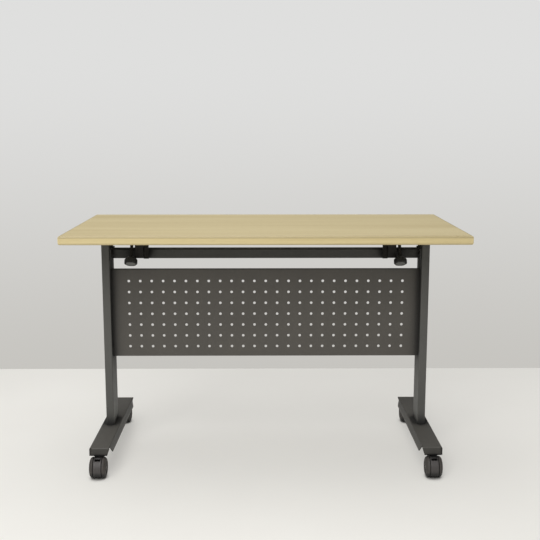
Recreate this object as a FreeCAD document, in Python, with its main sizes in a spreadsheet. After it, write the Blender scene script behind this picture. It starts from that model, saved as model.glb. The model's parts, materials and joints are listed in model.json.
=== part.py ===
import FreeCAD, Part
import math
import os
import re

import Sketcher

# Flip-top table on castors: a laminated top that tilts up on a cross beam between two T-legs.
# X runs along the table, Y runs away from its front edge and Z is up.
# The origin is on the floor under the middle of the top. All sizes are in millimetres.

SIZES = {
    # Top
    "table_length": 1200,
    "table_depth": 600,
    "table_height": 750,
    "core_thickness": 25,
    "laminate_thickness": 1,
    "band_thickness": 7,
    "band_radius": 6,
    # Columns
    "end_overhang": 77,
    "column_width": 25,
    "column_depth": 86,
    "column_wall": 2,
    "column_radius": 3,
    "column_clear": 23,
    "cap_thickness": 4,
    "cap_plug_length": 15,
    # Feet
    "foot_width": 66,
    "foot_inset": 4,
    "foot_length": 510,
    "foot_height": 24,
    "foot_sheet": 2,
    "foot_radius": 3,
    "flap_cut": 8,
    "fold_cut": 34,
    "relief_width": 5,
    "relief_length": 14,
    "base_plate_thickness": 6,
    "base_bolt_spacing": 44,
    # Castors
    "castor_height": 68,
    "castor_setback": 25,
    "castor_offset": 2,
    "castor_trail": 26,
    "castor_width": 50,
    "wheel_diameter": 64,
    "wheel_gap": 1,
    "tread_radius": 10,
    "wheel_chamfer": 0.6,
    "wheel_dish": 2.5,
    "wheel_rim": 11,
    "hub_diameter": 22,
    "axle_diameter": 8,
    "stem_diameter": 10,
    "stem_length": 18,
    "stem_pin_length": 26,
    "collar_diameter": 18,
    "collar_height": 2,
    "boss_diameter": 20,
    "hood_width": 26,
    "hood_rim": 0.5,
    "hood_lift": 9,
    "hood_back": 14,
    "hood_heel_rise": 16,
    "hood_edge": 3,
    "hood_cap_diameter": 36,
    "hood_cap_height": 4.7,
    "hood_cap_edge": 2,
    "pedal_width": 18,
    "pedal_thickness": 5.5,
    "pedal_sink": 0.5,
    "pedal_start": 84,
    "pedal_end": 113,
    "grip_start": 104,
    "grip_slope": 3,
    "grip_height": 2,
    "slot_start": 80,
    "slot_end": 127,
    "slot_floor": 19,
    "trunnion_turn": 89,
    "trunnion_diameter": 4,
    # Cross beam
    "beam_drop": 51,
    "beam_height": 30,
    "beam_depth": 40,
    "beam_wall": 2,
    "beam_radius": 3,
    "beam_plate_thickness": 5,
    "beam_plate_height": 34,
    "beam_plate_depth": 76,
    "beam_bolt_spacing": 58,
    # Perforated panel
    "panel_drop": 36,
    "panel_height": 287,
    "panel_sheet": 1.2,
    "panel_depth": 18,
    "panel_strip": 2,
    "panel_setback": 25,
    "hole_diameter": 8.5,
    "hole_columns": 25,
    "hole_rows": 7,
    "hole_side_margin": 56.4,
    "hole_top_margin": 38.5,
    "hole_bottom_margin": 32.5,
    "panel_screw_spacing": 190,
    # Hinge brackets
    "bracket_inset": 96,
    "bracket_gap": 20,
    "cheek_thickness": 3,
    "bracket_plate_width": 60,
    "bracket_plate_depth": 120,
    "bracket_plate_thickness": 3,
    "pivot_rise": 20,
    "pivot_diameter": 10,
    "pivot_head_diameter": 16,
    "pivot_head_height": 3,
    "ear_radius": 14,
    "ear_thickness": 4,
    "ear_base": 3,
    "ear_foot": 25,
    "rest_gap": 4,
    "pad_depth": 12,
    "apron_reach": 28,
    "apron_lift": 6,
    # Release latch
    "latch_forward": 13,
    "latch_rise": 28,
    "latch_shaft_diameter": 8,
    "latch_hub_radius": 8.5,
    "hook_width": 15,
    "hook_thickness": 7,
    "hook_set": 4,
    "hook_open": 12,
    "lip_reach": 12,
    "lip_thickness": 5,
    "keeper_lift": 8,
    "keeper_depth": 8,
    "keeper_height": 5,
    "lever_gap": 6,
    "lever_width": 9,
    "lever_thickness": 8,
    "lever_tilt": 30,
    "knob_reach": 79,
    "knob_height": 22,
    "knob_diameter": 41,
    "knob_neck_diameter": 24,
    "knob_rim": 13,
    "knob_edge": 3,
    "lobe_count": 6,
    "lobe_radius": 8,
    "lobe_depth": 3,
    # Fasteners and fits
    "bolt_diameter": 8,
    "bolt_head_diameter": 14,
    "bolt_head_height": 4.5,
    "bolt_head_edge": 1.5,
    "bolt_reach": 8,
    "screw_diameter": 4,
    "screw_head_diameter": 8,
    "screw_head_height": 2.5,
    "screw_head_edge": 0.8,
    "screw_length": 18,
    "screw_margin": 10,
    "seat_gap": 0.3,
    "side_gap": 1,
    "running_gap": 0.05,
    "drill_over": 1,
}

# Sizes and places that follow from the driving dimensions
PLACES = {
    "underside": "table_height - core_thickness - 2 * laminate_thickness",
    "column_top": "underside - column_clear",
    "column_axis": "(table_length - column_width) / 2 - end_overhang",
    "column_inside": "table_length / 2 - end_overhang - column_width",
    "foot_axis": "column_axis - foot_inset",
    "foot_top": "castor_height + foot_height",
    "foot_ceiling": "foot_top - foot_sheet",
    "castor_x": "column_axis + castor_offset",
    "swivel_y": "foot_length / 2 - castor_setback",
    "axle_z": "wheel_diameter / 2",
    "hood_radius": "axle_z + hood_rim",
    "hood_front": "sqrt(hood_radius ^ 2 - (axle_z - hood_lift) ^ 2)",
    "hood_top": "castor_height - collar_height - seat_gap",
    "pedal_radius": "hood_radius - pedal_sink",
    "pedal_inner": "pedal_radius - pedal_thickness",
    "trunnion_radius": "pedal_radius - pedal_thickness / 2 - seat_gap",
    "pedal_pivot_z": "axle_z + trunnion_radius * sin(trunnion_turn)",
    "pedal_y": "castor_trail - trunnion_radius * cos(trunnion_turn)",
    "beam_top": "underside - beam_drop",
    "beam_bottom": "beam_top - beam_height",
    "beam_front": "-beam_depth / 2",
    "beam_length": "2 * (column_inside - beam_plate_thickness)",
    "panel_front": "panel_setback - column_depth / 2",
    "panel_bottom": "beam_bottom - panel_drop - panel_height",
    "panel_middle": "panel_bottom + panel_height / 2",
    "column_pitch": "2 * (column_inside - hole_side_margin) / (hole_columns - 1)",
    "row_pitch": "(panel_height - hole_top_margin - hole_bottom_margin) / (hole_rows - 1)",
    "pivot_y": "beam_depth / 2",
    "pivot_z": "beam_top + pivot_rise",
    "saddle_z": "beam_top + rest_gap",
    "lug_radius": "pivot_rise - rest_gap",
    "bracket_offset": "column_inside - bracket_inset",
    "bracket_in": "bracket_offset - bracket_gap / 2 - cheek_thickness",
    "bracket_out": "bracket_offset + bracket_gap / 2 + cheek_thickness",
    "bracket_plate_z": "underside - bracket_plate_thickness",
    "apron_front": "beam_front - apron_reach",
    "latch_y": "beam_front - latch_forward",
    "latch_z": "beam_top + latch_rise",
    "lever_x": "bracket_out + lever_gap + lever_width / 2",
    "keeper_foot": "beam_bottom + keeper_lift",
    "hook_foot": "keeper_foot - side_gap - lip_thickness - latch_z",
    "knob_top": "knob_reach - knob_height",
}

doc = FreeCAD.newDocument("flip_top_table")
sheet = doc.addObject("Spreadsheet::Sheet", "Dim")
for row, (alias, number) in enumerate(SIZES.items(), start=1):
    sheet.set(f"A{row}", alias)
    sheet.set(f"B{row}", str(number))
    sheet.setAlias(f"B{row}", alias)
doc.recompute()

pieces = []


def formula(text):
    """Writes named sizes and places out as an expression on the sheet's cells."""
    def swap(match):
        word = match.group(0)
        if word in PLACES:
            return f"({formula(PLACES[word])})"
        return f"Dim.{word}" if word in SIZES else word
    return re.sub(r"[a-z_]+", swap, str(text))


def value(text):
    return float(sheet.evalExpression(formula(text)))


def bind(item, name, text):
    item.setExpression(name, formula(text))


def place(item, x, y, z, axis="0; 0; 1", angle="0"):
    """Binds the whole placement: a spot and a turn about an axis."""
    spot = f"create(<<vector>>; {formula(x)}; {formula(y)}; {formula(z)})"
    turn = f"create(<<rotation>>; create(<<vector>>; {axis}); {formula(angle)})"
    item.setExpression("Placement", f"create(<<placement>>; {spot}; {turn})")
    return item


def keep(item, label):
    """Makes an object one of the table's own pieces."""
    item.Label = label
    pieces.append(item)
    return item


def box(name, x_from, x_to, y_from, y_to, z_from, z_to):
    item = doc.addObject("Part::Box", name)
    bind(item, "Length", f"({x_to}) - ({x_from})")
    bind(item, "Width", f"({y_to}) - ({y_from})")
    bind(item, "Height", f"({z_to}) - ({z_from})")
    return place(item, x_from, y_from, z_from)


def rod(name, diameter, length, x, y, z, along_x=False):
    """A cylinder that starts at a spot and runs up, or towards +X."""
    item = doc.addObject("Part::Cylinder", name)
    bind(item, "Radius", f"({diameter}) / 2")
    bind(item, "Height", length)
    return place(item, x, y, z, "0; 1; 0", "90" if along_x else "0")


def join(name, items):
    item = doc.addObject("Part::MultiFuse", name)
    item.Shapes = items
    return item


def cut(name, base, tools):
    item = doc.addObject("Part::Cut", name)
    item.Base = base
    item.Tool = tools[0] if len(tools) == 1 else group(f"{name}_tools", tools)
    return item


def group(name, items):
    item = doc.addObject("Part::Compound", name)
    item.Links = items
    return item


def new_sketch(body, role):
    sketch = body.newObject("Sketcher::SketchObject", f"{body.Name}_sketch")
    plane = next(flat for flat in body.Origin.OriginFeatures if flat.Role == role)
    sketch.AttachmentSupport = [(plane, "")]
    sketch.MapMode = "FlatFace"
    return sketch


def pin_point(sketch, edge, end, x, y):
    """Holds one point of a sketch at two bound distances from the sketch's origin."""
    for kind, text in (("DistanceX", x), ("DistanceY", y)):
        index = sketch.addConstraint(Sketcher.Constraint(kind, -1, 1, edge, end, value(text)))
        sketch.setExpression(f"Constraints[{index}]", formula(text))


def add_circle(sketch, x, y, radius):
    circle = Part.Circle(FreeCAD.Vector(value(x), value(y), 0), FreeCAD.Vector(0, 0, 1), value(radius))
    edge = sketch.addGeometry(circle, False)
    pin_point(sketch, edge, 3, x, y)
    index = sketch.addConstraint(Sketcher.Constraint("Radius", edge, value(radius)))
    sketch.setExpression(f"Constraints[{index}]", formula(radius))


def add_path(sketch, path):
    """Draws a closed run: each point is (x, y), or (x, y, radius, turn) at the end of an arc."""
    spots = [FreeCAD.Vector(value(point[0]), value(point[1]), 0) for point in path]
    ends = []
    for index, point in enumerate(path):
        start = spots[index - 1]
        finish = spots[index]
        if len(point) == 2:
            edge = sketch.addGeometry(Part.LineSegment(start, finish), False)
            ends.append((edge, 1, 2))
            continue
        radius = value(point[2])
        chord = finish - start
        reach = math.sqrt(max(radius ** 2 - chord.Length ** 2 / 4, 0))
        side = 1 if point[3] == "left" else -1
        across = FreeCAD.Vector(-chord.y, chord.x, 0).normalize()
        centre = (start + finish) * 0.5 + across * (reach * side)
        first = math.atan2(start.y - centre.y, start.x - centre.x)
        last = math.atan2(finish.y - centre.y, finish.x - centre.x)
        circle = Part.Circle(centre, FreeCAD.Vector(0, 0, 1), radius)
        span = (first, last) if side > 0 else (last, first)
        edge = sketch.addGeometry(Part.ArcOfCircle(circle, *span), False)
        ends.append((edge, 1, 2) if side > 0 else (edge, 2, 1))
        bound = sketch.addConstraint(Sketcher.Constraint("Radius", edge, radius))
        sketch.setExpression(f"Constraints[{bound}]", formula(point[2]))
    for index, (edge, begin, end) in enumerate(ends):
        before, _, before_end = ends[index - 1]
        sketch.addConstraint(Sketcher.Constraint("Coincident", before, before_end, edge, begin))
        pin_point(sketch, edge, end, path[index][0], path[index][1])


def extrude(name, role, paths, length, circles=()):
    """A body padded from closed runs on one of its origin planes."""
    body = doc.addObject("PartDesign::Body", name)
    sketch = new_sketch(body, role)
    for path in paths:
        add_path(sketch, path)
    for circle in circles:
        add_circle(sketch, *circle)
    pad = body.newObject("PartDesign::Pad", f"{name}_pad")
    pad.Profile = sketch
    bind(pad, "Length", length)
    return body


def turned(name, path, role="XZ_Plane", axis="V_Axis"):
    """A body turned from a half profile, about Z unless said otherwise."""
    body = doc.addObject("PartDesign::Body", name)
    sketch = new_sketch(body, role)
    add_path(sketch, path)
    turn = body.newObject("PartDesign::Revolution", f"{name}_turn")
    turn.Profile = sketch
    turn.ReferenceAxis = (sketch, [axis])
    turn.Angle = 360
    return body


def rectangle(x_from, x_to, y_from, y_to):
    return [(x_to, y_from), (x_to, y_to), (x_from, y_to), (x_from, y_from)]


def rounded(width, depth, radius):
    """A rectangle about the origin with an arc at each corner."""
    x = f"({width}) / 2"
    y = f"({depth}) / 2"
    return [
        (f"{x} - {radius}", f"-{y}"), (x, f"-{y} + {radius}", radius, "left"),
        (x, f"{y} - {radius}"), (f"{x} - {radius}", y, radius, "left"),
        (f"-{x} + {radius}", y), (f"-{x}", f"{y} - {radius}", radius, "left"),
        (f"-{x}", f"-{y} + {radius}"), (f"-{x} + {radius}", f"-{y}", radius, "left"),
    ]


def span(side, near, far):
    """The lower and upper X of a piece between two distances from the middle, on one side."""
    return (near, far) if side > 0 else (f"-({far})", f"-({near})")


SIDES = (("left", -1), ("right", 1))
bolt_hole = "bolt_diameter + 2 * running_gap"
screw_hole = "screw_diameter + 2 * running_gap"


def headed_pin(name, length, kind):
    """A turned fastener: its head lies below the origin's plane and its shank runs up from it."""
    head = f"{kind}_head_diameter / 2"
    return turned(name, [
        ("0", f"-{kind}_head_height"),
        (f"{head} - {kind}_head_edge", f"-{kind}_head_height"),
        (head, f"{kind}_head_edge - {kind}_head_height"),
        (head, "0"),
        (f"{kind}_diameter / 2", "0"),
        (f"{kind}_diameter / 2", length),
        ("0", length),
    ])


# Columns: rectangular tubes, drilled on the inner wall for the beam's bolts and the panel's screws
panel_screw_y = "panel_front + panel_depth / 2"
for side_name, side in SIDES:
    tube = extrude(f"{side_name}_tube", "XY_Plane", [
        rounded("column_width", "column_depth", "column_radius"),
        rectangle("column_wall - column_width / 2", "column_width / 2 - column_wall",
                  "column_wall - column_depth / 2", "column_depth / 2 - column_wall"),
    ], "column_top - foot_top")
    place(tube, f"{side} * column_axis", "0", "foot_top")
    drill_from, drill_to = span(side, "column_inside - column_wall", "column_inside + 2 * column_wall")
    drill_length = f"({drill_to}) - ({drill_from})"
    drills = []
    for end in (-1, 1):
        drills.append(rod(f"{side_name}_bolt_drill", bolt_hole, drill_length, drill_from,
                          f"{end} * beam_bolt_spacing / 2", "beam_bottom + beam_height / 2", True))
        drills.append(rod(f"{side_name}_screw_drill", screw_hole, drill_length, drill_from,
                          panel_screw_y, f"panel_middle + {end} * panel_screw_spacing / 2", True))
    keep(cut(f"{side_name}_column_cut", tube, drills), f"{side_name}_column")

    cap_lid = extrude(f"{side_name}_cap_lid", "XY_Plane",
                      [rounded("column_width", "column_depth", "column_radius")], "cap_thickness")
    place(cap_lid, f"{side} * column_axis", "0", "column_top")
    plug_x = "column_width / 2 - column_wall - seat_gap"
    plug_y = "column_depth / 2 - column_wall - seat_gap"
    cap_plug = box(f"{side_name}_cap_plug", f"{side} * column_axis - ({plug_x})",
                   f"{side} * column_axis + {plug_x}", f"-({plug_y})", plug_y,
                   "column_top - cap_plug_length", "column_top")
    keep(join(f"{side_name}_cap_join", [cap_lid, cap_plug]), f"{side_name}_column_cap")

    plate = box(f"{side_name}_plate_blank", f"{side} * column_axis - ({plug_x})",
                f"{side} * column_axis + {plug_x}", f"-({plug_y})", plug_y,
                "foot_top", "foot_top + base_plate_thickness")
    taps = [rod(f"{side_name}_tap", bolt_hole, "base_plate_thickness + 2 * drill_over",
                f"{side} * column_axis", f"{end} * base_bolt_spacing / 2", "foot_top - drill_over")
            for end in (-1, 1)]
    keep(cut(f"{side_name}_plate_cut", plate, taps), f"{side_name}_base_plate")

# Feet: sheet steel folded down on four sides, relieved at the two inner corners and slanted beside them
base_bolts = []
bosses = []
stems = []
for side_name, side in SIDES:
    half = "foot_width / 2"
    wall = "foot_width / 2 - foot_sheet"
    channel = extrude(f"{side_name}_channel", "XZ_Plane", [[
        (f"-({half})", "castor_height"), (f"-({wall})", "castor_height"), (f"-({wall})", "foot_ceiling"),
        (wall, "foot_ceiling"), (wall, "castor_height"), (half, "castor_height"),
        (half, "foot_top - foot_radius"), ("foot_width / 2 - foot_radius", "foot_top", "foot_radius", "left"),
        ("foot_radius - foot_width / 2", "foot_top"),
        (f"-({half})", "foot_top - foot_radius", "foot_radius", "left"),
    ]], "foot_length")
    place(channel, f"{side} * foot_axis", "foot_length / 2", "0")
    folds = [channel]
    for end_name, flap_y in (("front", "foot_sheet - foot_length / 2"), ("rear", "foot_length / 2")):
        flap = extrude(f"{side_name}_{end_name}_flap", "XZ_Plane", [[
            (f"{side} * ({wall})", "castor_height"), (f"{side} * (flap_cut - ({wall}))", "castor_height"),
            (f"{side} * (relief_width - {half})", "foot_ceiling"), (f"{side} * ({wall})", "foot_ceiling"),
        ]], "foot_sheet")
        folds.append(place(flap, f"{side} * foot_axis", flap_y, "0"))
    tools = [rod(f"{side_name}_foot_drill", bolt_hole, "foot_sheet + 2 * drill_over",
                 f"{side} * column_axis", f"{end} * base_bolt_spacing / 2", "foot_ceiling - drill_over")
             for end in (-1, 1)]
    notch_from, _ = span(side, "foot_axis - foot_width / 2 - drill_over",
                         "foot_axis - foot_width / 2 + foot_sheet")
    for end in (-1, 1):
        notch = extrude(f"{side_name}_notch", "YZ_Plane", [[
            (f"{end} * (foot_length / 2 + drill_over)", "castor_height - drill_over"),
            (f"{end} * (foot_length / 2 + drill_over)", "foot_ceiling"),
            (f"{end} * (foot_length / 2 - relief_length)", "foot_ceiling"),
            (f"{end} * (foot_length / 2 - fold_cut)", "castor_height - drill_over"),
        ]], "foot_sheet + drill_over")
        tools.append(place(notch, notch_from, "0", "0"))
        relief = extrude(f"{side_name}_relief", "XY_Plane", [[
            (f"-{side} * drill_over", f"{end} * (foot_length / 2 + drill_over)"),
            (f"{side} * relief_width", f"{end} * (foot_length / 2 + drill_over)"),
            (f"{side} * relief_width", f"{end} * foot_length / 2"),
            ("0", f"{end} * (foot_length / 2 - relief_length)"),
            (f"-{side} * drill_over", f"{end} * (foot_length / 2 - relief_length)"),
        ]], "foot_height + 2 * drill_over")
        tools.append(place(relief, f"{side} * (foot_axis - {half})", "0", "castor_height - drill_over"))
    keep(cut(f"{side_name}_foot_cut", join(f"{side_name}_foot_join", folds), tools), f"{side_name}_foot")

    for end in (-1, 1):
        bolt = headed_pin("base_bolt", "foot_sheet + base_plate_thickness", "bolt")
        base_bolts.append(place(bolt, f"{side} * column_axis", f"{end} * base_bolt_spacing / 2",
                                "foot_ceiling"))
        boss = turned("stem_boss", rectangle("stem_diameter / 2 + running_gap", "boss_diameter / 2",
                                             "0", "foot_ceiling - castor_height"))
        bosses.append(place(boss, f"{side} * castor_x", f"{end} * swivel_y", "castor_height"))
        stem = turned("castor_stem", [
            ("0", "-collar_height - stem_pin_length"),
            ("stem_diameter / 2", "-collar_height - stem_pin_length"),
            ("stem_diameter / 2", "-collar_height"), ("collar_diameter / 2", "-collar_height"),
            ("collar_diameter / 2", "0"), ("stem_diameter / 2", "0"),
            ("stem_diameter / 2", "stem_length"), ("0", "stem_length"),
        ])
        stems.append(place(stem, f"{side} * castor_x", f"{end} * swivel_y", "castor_height"))
keep(group("base_bolt_group", base_bolts), "base_bolts")
keep(group("boss_group", bosses), "stem_bosses")
keep(group("stem_group", stems), "castor_stems")

# Cross beam: a rectangular tube with a plate on each end, bolted to the columns' inner walls
beam = extrude("beam_tube", "YZ_Plane", [
    rounded("beam_depth", "beam_height", "beam_radius"),
    rectangle("beam_wall - beam_depth / 2", "beam_depth / 2 - beam_wall",
              "beam_wall - beam_height / 2", "beam_height / 2 - beam_wall"),
], "beam_length")
keep(place(beam, "-beam_length / 2", "0", "beam_bottom + beam_height / 2"), "flip_beam")
beam_bolts = []
for side_name, side in SIDES:
    plate_from, plate_to = span(side, "column_inside - beam_plate_thickness", "column_inside")
    plate_mid = "beam_bottom + beam_height / 2"
    plate = box(f"{side_name}_end_blank", plate_from, plate_to, "-beam_plate_depth / 2",
                "beam_plate_depth / 2", f"{plate_mid} - beam_plate_height / 2",
                f"{plate_mid} + beam_plate_height / 2")
    drills = []
    for end in (-1, 1):
        bolt_y = f"{end} * beam_bolt_spacing / 2"
        drills.append(rod(f"{side_name}_end_drill", bolt_hole, "beam_plate_thickness + 2 * drill_over",
                          f"{plate_from} - drill_over", bolt_y, plate_mid, True))
        bolt = headed_pin("beam_bolt", "beam_plate_thickness + column_wall + bolt_reach", "bolt")
        beam_bolts.append(place(bolt, f"{side} * (column_inside - beam_plate_thickness)", bolt_y, plate_mid,
                                "0; 1; 0", f"{side} * 90"))
    keep(cut(f"{side_name}_end_cut", plate, drills), f"{side_name}_beam_plate")
keep(group("beam_bolt_group", beam_bolts), "beam_bolts")

# Modesty panel: a perforated sheet with strips welded behind its edges, screwed to the columns at both ends
panel = extrude("panel_blank", "XZ_Plane", [
    rectangle("-column_inside", "column_inside", "0", "panel_height"),
], "panel_sheet")
hole_sketch = new_sketch(panel, "XZ_Plane")
add_circle(hole_sketch, "hole_side_margin - column_inside", "hole_bottom_margin", "hole_diameter / 2")
hole = panel.newObject("PartDesign::Pocket", "panel_hole")
hole.Profile = hole_sketch
hole.Reversed = True
bind(hole, "Length", "2 * panel_sheet")
holes = panel.newObject("PartDesign::LinearPattern", "panel_holes")
holes.Originals = [hole]
holes.Direction = (hole_sketch, ["H_Axis"])
holes.Mode = "Spacing"
bind(holes, "Offset", "column_pitch")
bind(holes, "Occurrences", "hole_columns")
holes.Direction2 = (hole_sketch, ["V_Axis"])
holes.Mode2 = "Spacing"
bind(holes, "Offset2", "row_pitch")
bind(holes, "Occurrences2", "hole_rows")
# A spacing of -1 between two rows stands for the common offset
holes.Spacings2 = [-1.0] * (SIZES["hole_rows"] - 1)
panel.Tip = holes
strip_front = "panel_front + panel_sheet"
strip_back = "panel_front + panel_depth"
keep(place(panel, "0", strip_front, "panel_bottom"), "modesty_panel")
rail_reach = "column_inside - panel_strip"
rails = [box(f"{level}_rail", f"-({rail_reach})", rail_reach, strip_front, strip_back,
             rail_z, f"{rail_z} + panel_strip")
         for level, rail_z in (("lower", "panel_bottom"),
                               ("upper", "panel_bottom + panel_height - panel_strip"))]
keep(group("panel_rail_group", rails), "panel_rails")
panel_screws = []
for side_name, side in SIDES:
    strip_from, strip_to = span(side, rail_reach, "column_inside")
    strip = box(f"{side_name}_strip_blank", strip_from, strip_to, strip_front, strip_back,
                "panel_bottom", "panel_bottom + panel_height")
    drills = []
    for end in (-1, 1):
        screw_z = f"panel_middle + {end} * panel_screw_spacing / 2"
        drills.append(rod(f"{side_name}_strip_drill", screw_hole, "panel_strip + 2 * drill_over",
                          f"{strip_from} - drill_over", panel_screw_y, screw_z, True))
        screw = headed_pin("panel_screw", "panel_strip + column_wall + bolt_reach", "screw")
        panel_screws.append(place(screw, f"{side} * ({rail_reach})", panel_screw_y, screw_z,
                                  "0; 1; 0", f"{side} * 90"))
    keep(cut(f"{side_name}_strip_cut", strip, drills), f"{side_name}_panel_flange")
keep(group("panel_screw_group", panel_screws), "panel_screws")

# Hinges: forked pivot brackets welded on the beam, each with a headed pin, and a rubber rest beside them
rest_pads = []
for side_name, side in SIDES:
    fork_near = "bracket_offset - bracket_gap / 2 + side_gap"
    fork_far = "bracket_offset + bracket_gap / 2 - side_gap"
    fork_from, fork_to = span(side, fork_near, fork_far)
    ear = extrude(f"{side_name}_ear", "YZ_Plane", [[
        ("pivot_y - ear_foot", "0"), ("pivot_y", "0"),
        ("pivot_y + ear_radius", "pivot_rise"),
        ("pivot_y", "pivot_rise + ear_radius", "ear_radius", "left"),
        ("pivot_y - ear_radius", "pivot_rise", "ear_radius", "left"),
        ("pivot_y - ear_foot", "ear_base"),
    ]], "bracket_gap - 2 * side_gap",
        [("pivot_y", "pivot_rise", "pivot_diameter / 2 + running_gap")])
    place(ear, fork_from, "0", "beam_top")
    slot_from, slot_to = span(side, f"{fork_near} + ear_thickness", f"{fork_far} - ear_thickness")
    slot = box(f"{side_name}_ear_slot", slot_from, slot_to, "-table_depth / 2", "table_depth / 2",
               "beam_top + ear_base", "pivot_z + 2 * ear_radius")
    keep(cut(f"{side_name}_fork", ear, [slot]), f"{side_name}_pivot_bracket")

    pin_reach = "bracket_gap / 2 + cheek_thickness + seat_gap"
    pin = turned(f"{side_name}_pin", [
        ("0", f"-({pin_reach}) - pivot_head_height"),
        ("pivot_head_diameter / 2", f"-({pin_reach}) - pivot_head_height"),
        ("pivot_head_diameter / 2", f"-({pin_reach})"), ("pivot_diameter / 2", f"-({pin_reach})"),
        ("pivot_diameter / 2", pin_reach), ("pivot_head_diameter / 2", pin_reach),
        ("pivot_head_diameter / 2", f"{pin_reach} + pivot_head_height"),
        ("0", f"{pin_reach} + pivot_head_height"),
    ])
    keep(place(pin, f"{side} * bracket_offset", "pivot_y", "pivot_z", "0; 1; 0", "90"),
         f"{side_name}_pivot_pin")

    pad_from, pad_to = span(side, "bracket_in - 2 * side_gap", "bracket_out + 2 * side_gap")
    rest_pads.append(box(f"{side_name}_pad", pad_from, pad_to, "beam_front + side_gap",
                         "beam_front + side_gap + pad_depth", "beam_top", "saddle_z - seat_gap"))
keep(group("rest_pad_group", rest_pads), "rest_pads")

# Top: a chipboard core with laminate above and below, and a rounded band on each edge, mitred at the corners
core_x = "table_length / 2 - band_thickness"
core_y = "table_depth / 2 - band_thickness"
core_from = "underside + laminate_thickness"
core_to = "table_height - laminate_thickness"
screw_spots = []
for side_name, side in SIDES:
    for along in (-1, 1):
        for across in (-1, 1):
            screw_spots.append((
                f"{side} * bracket_offset + {along} * (bracket_plate_width / 2 - screw_margin)",
                f"{across} * (bracket_plate_depth / 2 - screw_margin)"))
pilot_top = "screw_length - bracket_plate_thickness"
core = box("core_blank", f"-({core_x})", core_x, f"-({core_y})", core_y, core_from, core_to)
core_pilots = [rod("core_pilot", screw_hole, f"{pilot_top} + seat_gap", x, y, "underside")
               for x, y in screw_spots]
keep(cut("core_cut", core, core_pilots), "top_core")
backing = box("backing_blank", f"-({core_x})", core_x, f"-({core_y})", core_y, "underside", core_from)
backing_pilots = [rod("backing_pilot", screw_hole, "laminate_thickness + 2 * drill_over", x, y,
                      "underside - drill_over") for x, y in screw_spots]
keep(cut("backing_cut", backing, backing_pilots), "backing_laminate")
keep(box("surface", f"-({core_x})", core_x, f"-({core_y})", core_y, core_to, "table_height"), "top_laminate")

band_low = "underside + band_radius"
band_high = "table_height - band_radius"
band_profile = [
    ("band_thickness", "underside"), ("band_thickness", "table_height"),
    ("band_radius", "table_height"), ("0", band_high, "band_radius", "left"),
    ("0", band_low), ("band_radius", "underside", "band_radius", "left"),
]
mitre_near = "-drill_over"
mitre_far = "band_thickness + drill_over"
for label, length, x, y, angle in (
        ("front_edge_band", "table_length", "-table_length / 2", "-table_depth / 2", "0"),
        ("rear_edge_band", "table_length", "table_length / 2", "table_depth / 2", "180"),
        ("left_edge_band", "table_depth", "-table_length / 2", "table_depth / 2", "-90"),
        ("right_edge_band", "table_depth", "table_length / 2", "-table_depth / 2", "90")):
    strip = extrude(f"{label}_strip", "YZ_Plane", [band_profile], length)
    mitres = []
    for tip_x, root_x in ((mitre_near, mitre_far),
                          (f"{length} - ({mitre_near})", f"{length} - ({mitre_far})")):
        mitre = extrude(f"{label}_mitre", "XY_Plane",
                        [[(tip_x, mitre_near), (tip_x, mitre_far), (root_x, mitre_far)]],
                        "table_height - underside + 2 * drill_over")
        mitres.append(place(mitre, "0", "0", "underside - drill_over"))
    band = cut(f"{label}_cut", strip, mitres)
    keep(place(band, x, y, "0", "0; 0; 1", angle), label)

# Top brackets: a screwed plate with two cheeks that straddle the beam and an apron in front of it
bracket_screws = []
for side_name, side in SIDES:
    flange_from, flange_to = span(side, "bracket_offset - bracket_plate_width / 2",
                                  "bracket_offset + bracket_plate_width / 2")
    flange = box(f"{side_name}_flange_blank", flange_from, flange_to, "-bracket_plate_depth / 2",
                 "bracket_plate_depth / 2", "bracket_plate_z", "underside")
    here = [spot for spot in screw_spots if spot[0].startswith(f"{side} *")]
    flange_drills = [rod(f"{side_name}_flange_drill", screw_hole, "bracket_plate_thickness + 2 * drill_over",
                         x, y, "bracket_plate_z - drill_over") for x, y in here]
    cheek_path = [
        ("apron_front", "beam_bottom + apron_lift"),
        ("beam_front - rest_gap", "beam_bottom + apron_lift"),
        ("beam_front - rest_gap", "saddle_z"), ("pivot_y", "saddle_z"),
        ("pivot_y + lug_radius", "pivot_z", "lug_radius", "left"),
        ("pivot_y + lug_radius", "bracket_plate_z"), ("apron_front", "bracket_plate_z"),
    ]
    yoke = extrude(f"{side_name}_yoke", "YZ_Plane", [cheek_path], "bracket_out - bracket_in", [
        ("pivot_y", "pivot_z", "pivot_diameter / 2 + running_gap"),
        ("latch_y", "latch_z", "latch_shaft_diameter / 2 + running_gap"),
    ])
    yoke_from, _ = span(side, "bracket_in", "bracket_out")
    place(yoke, yoke_from, "0", "0")
    gap_from, gap_to = span(side, "bracket_offset - bracket_gap / 2", "bracket_offset + bracket_gap / 2")
    yoke_gap = box(f"{side_name}_yoke_gap", gap_from, gap_to, "apron_front + cheek_thickness",
                   "bracket_plate_depth", "beam_bottom", "bracket_plate_z")
    yoke_cut = cut(f"{side_name}_yoke_cut", yoke, [yoke_gap])
    flange_cut = cut(f"{side_name}_flange_cut", flange, flange_drills)
    keep(join(f"{side_name}_bracket_join", [flange_cut, yoke_cut]), f"{side_name}_top_bracket")
    for x, y in here:
        screw = headed_pin("bracket_screw", "screw_length", "screw")
        bracket_screws.append(place(screw, x, y, "bracket_plate_z"))
keep(group("bracket_screw_group", bracket_screws), "bracket_screws")

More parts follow.
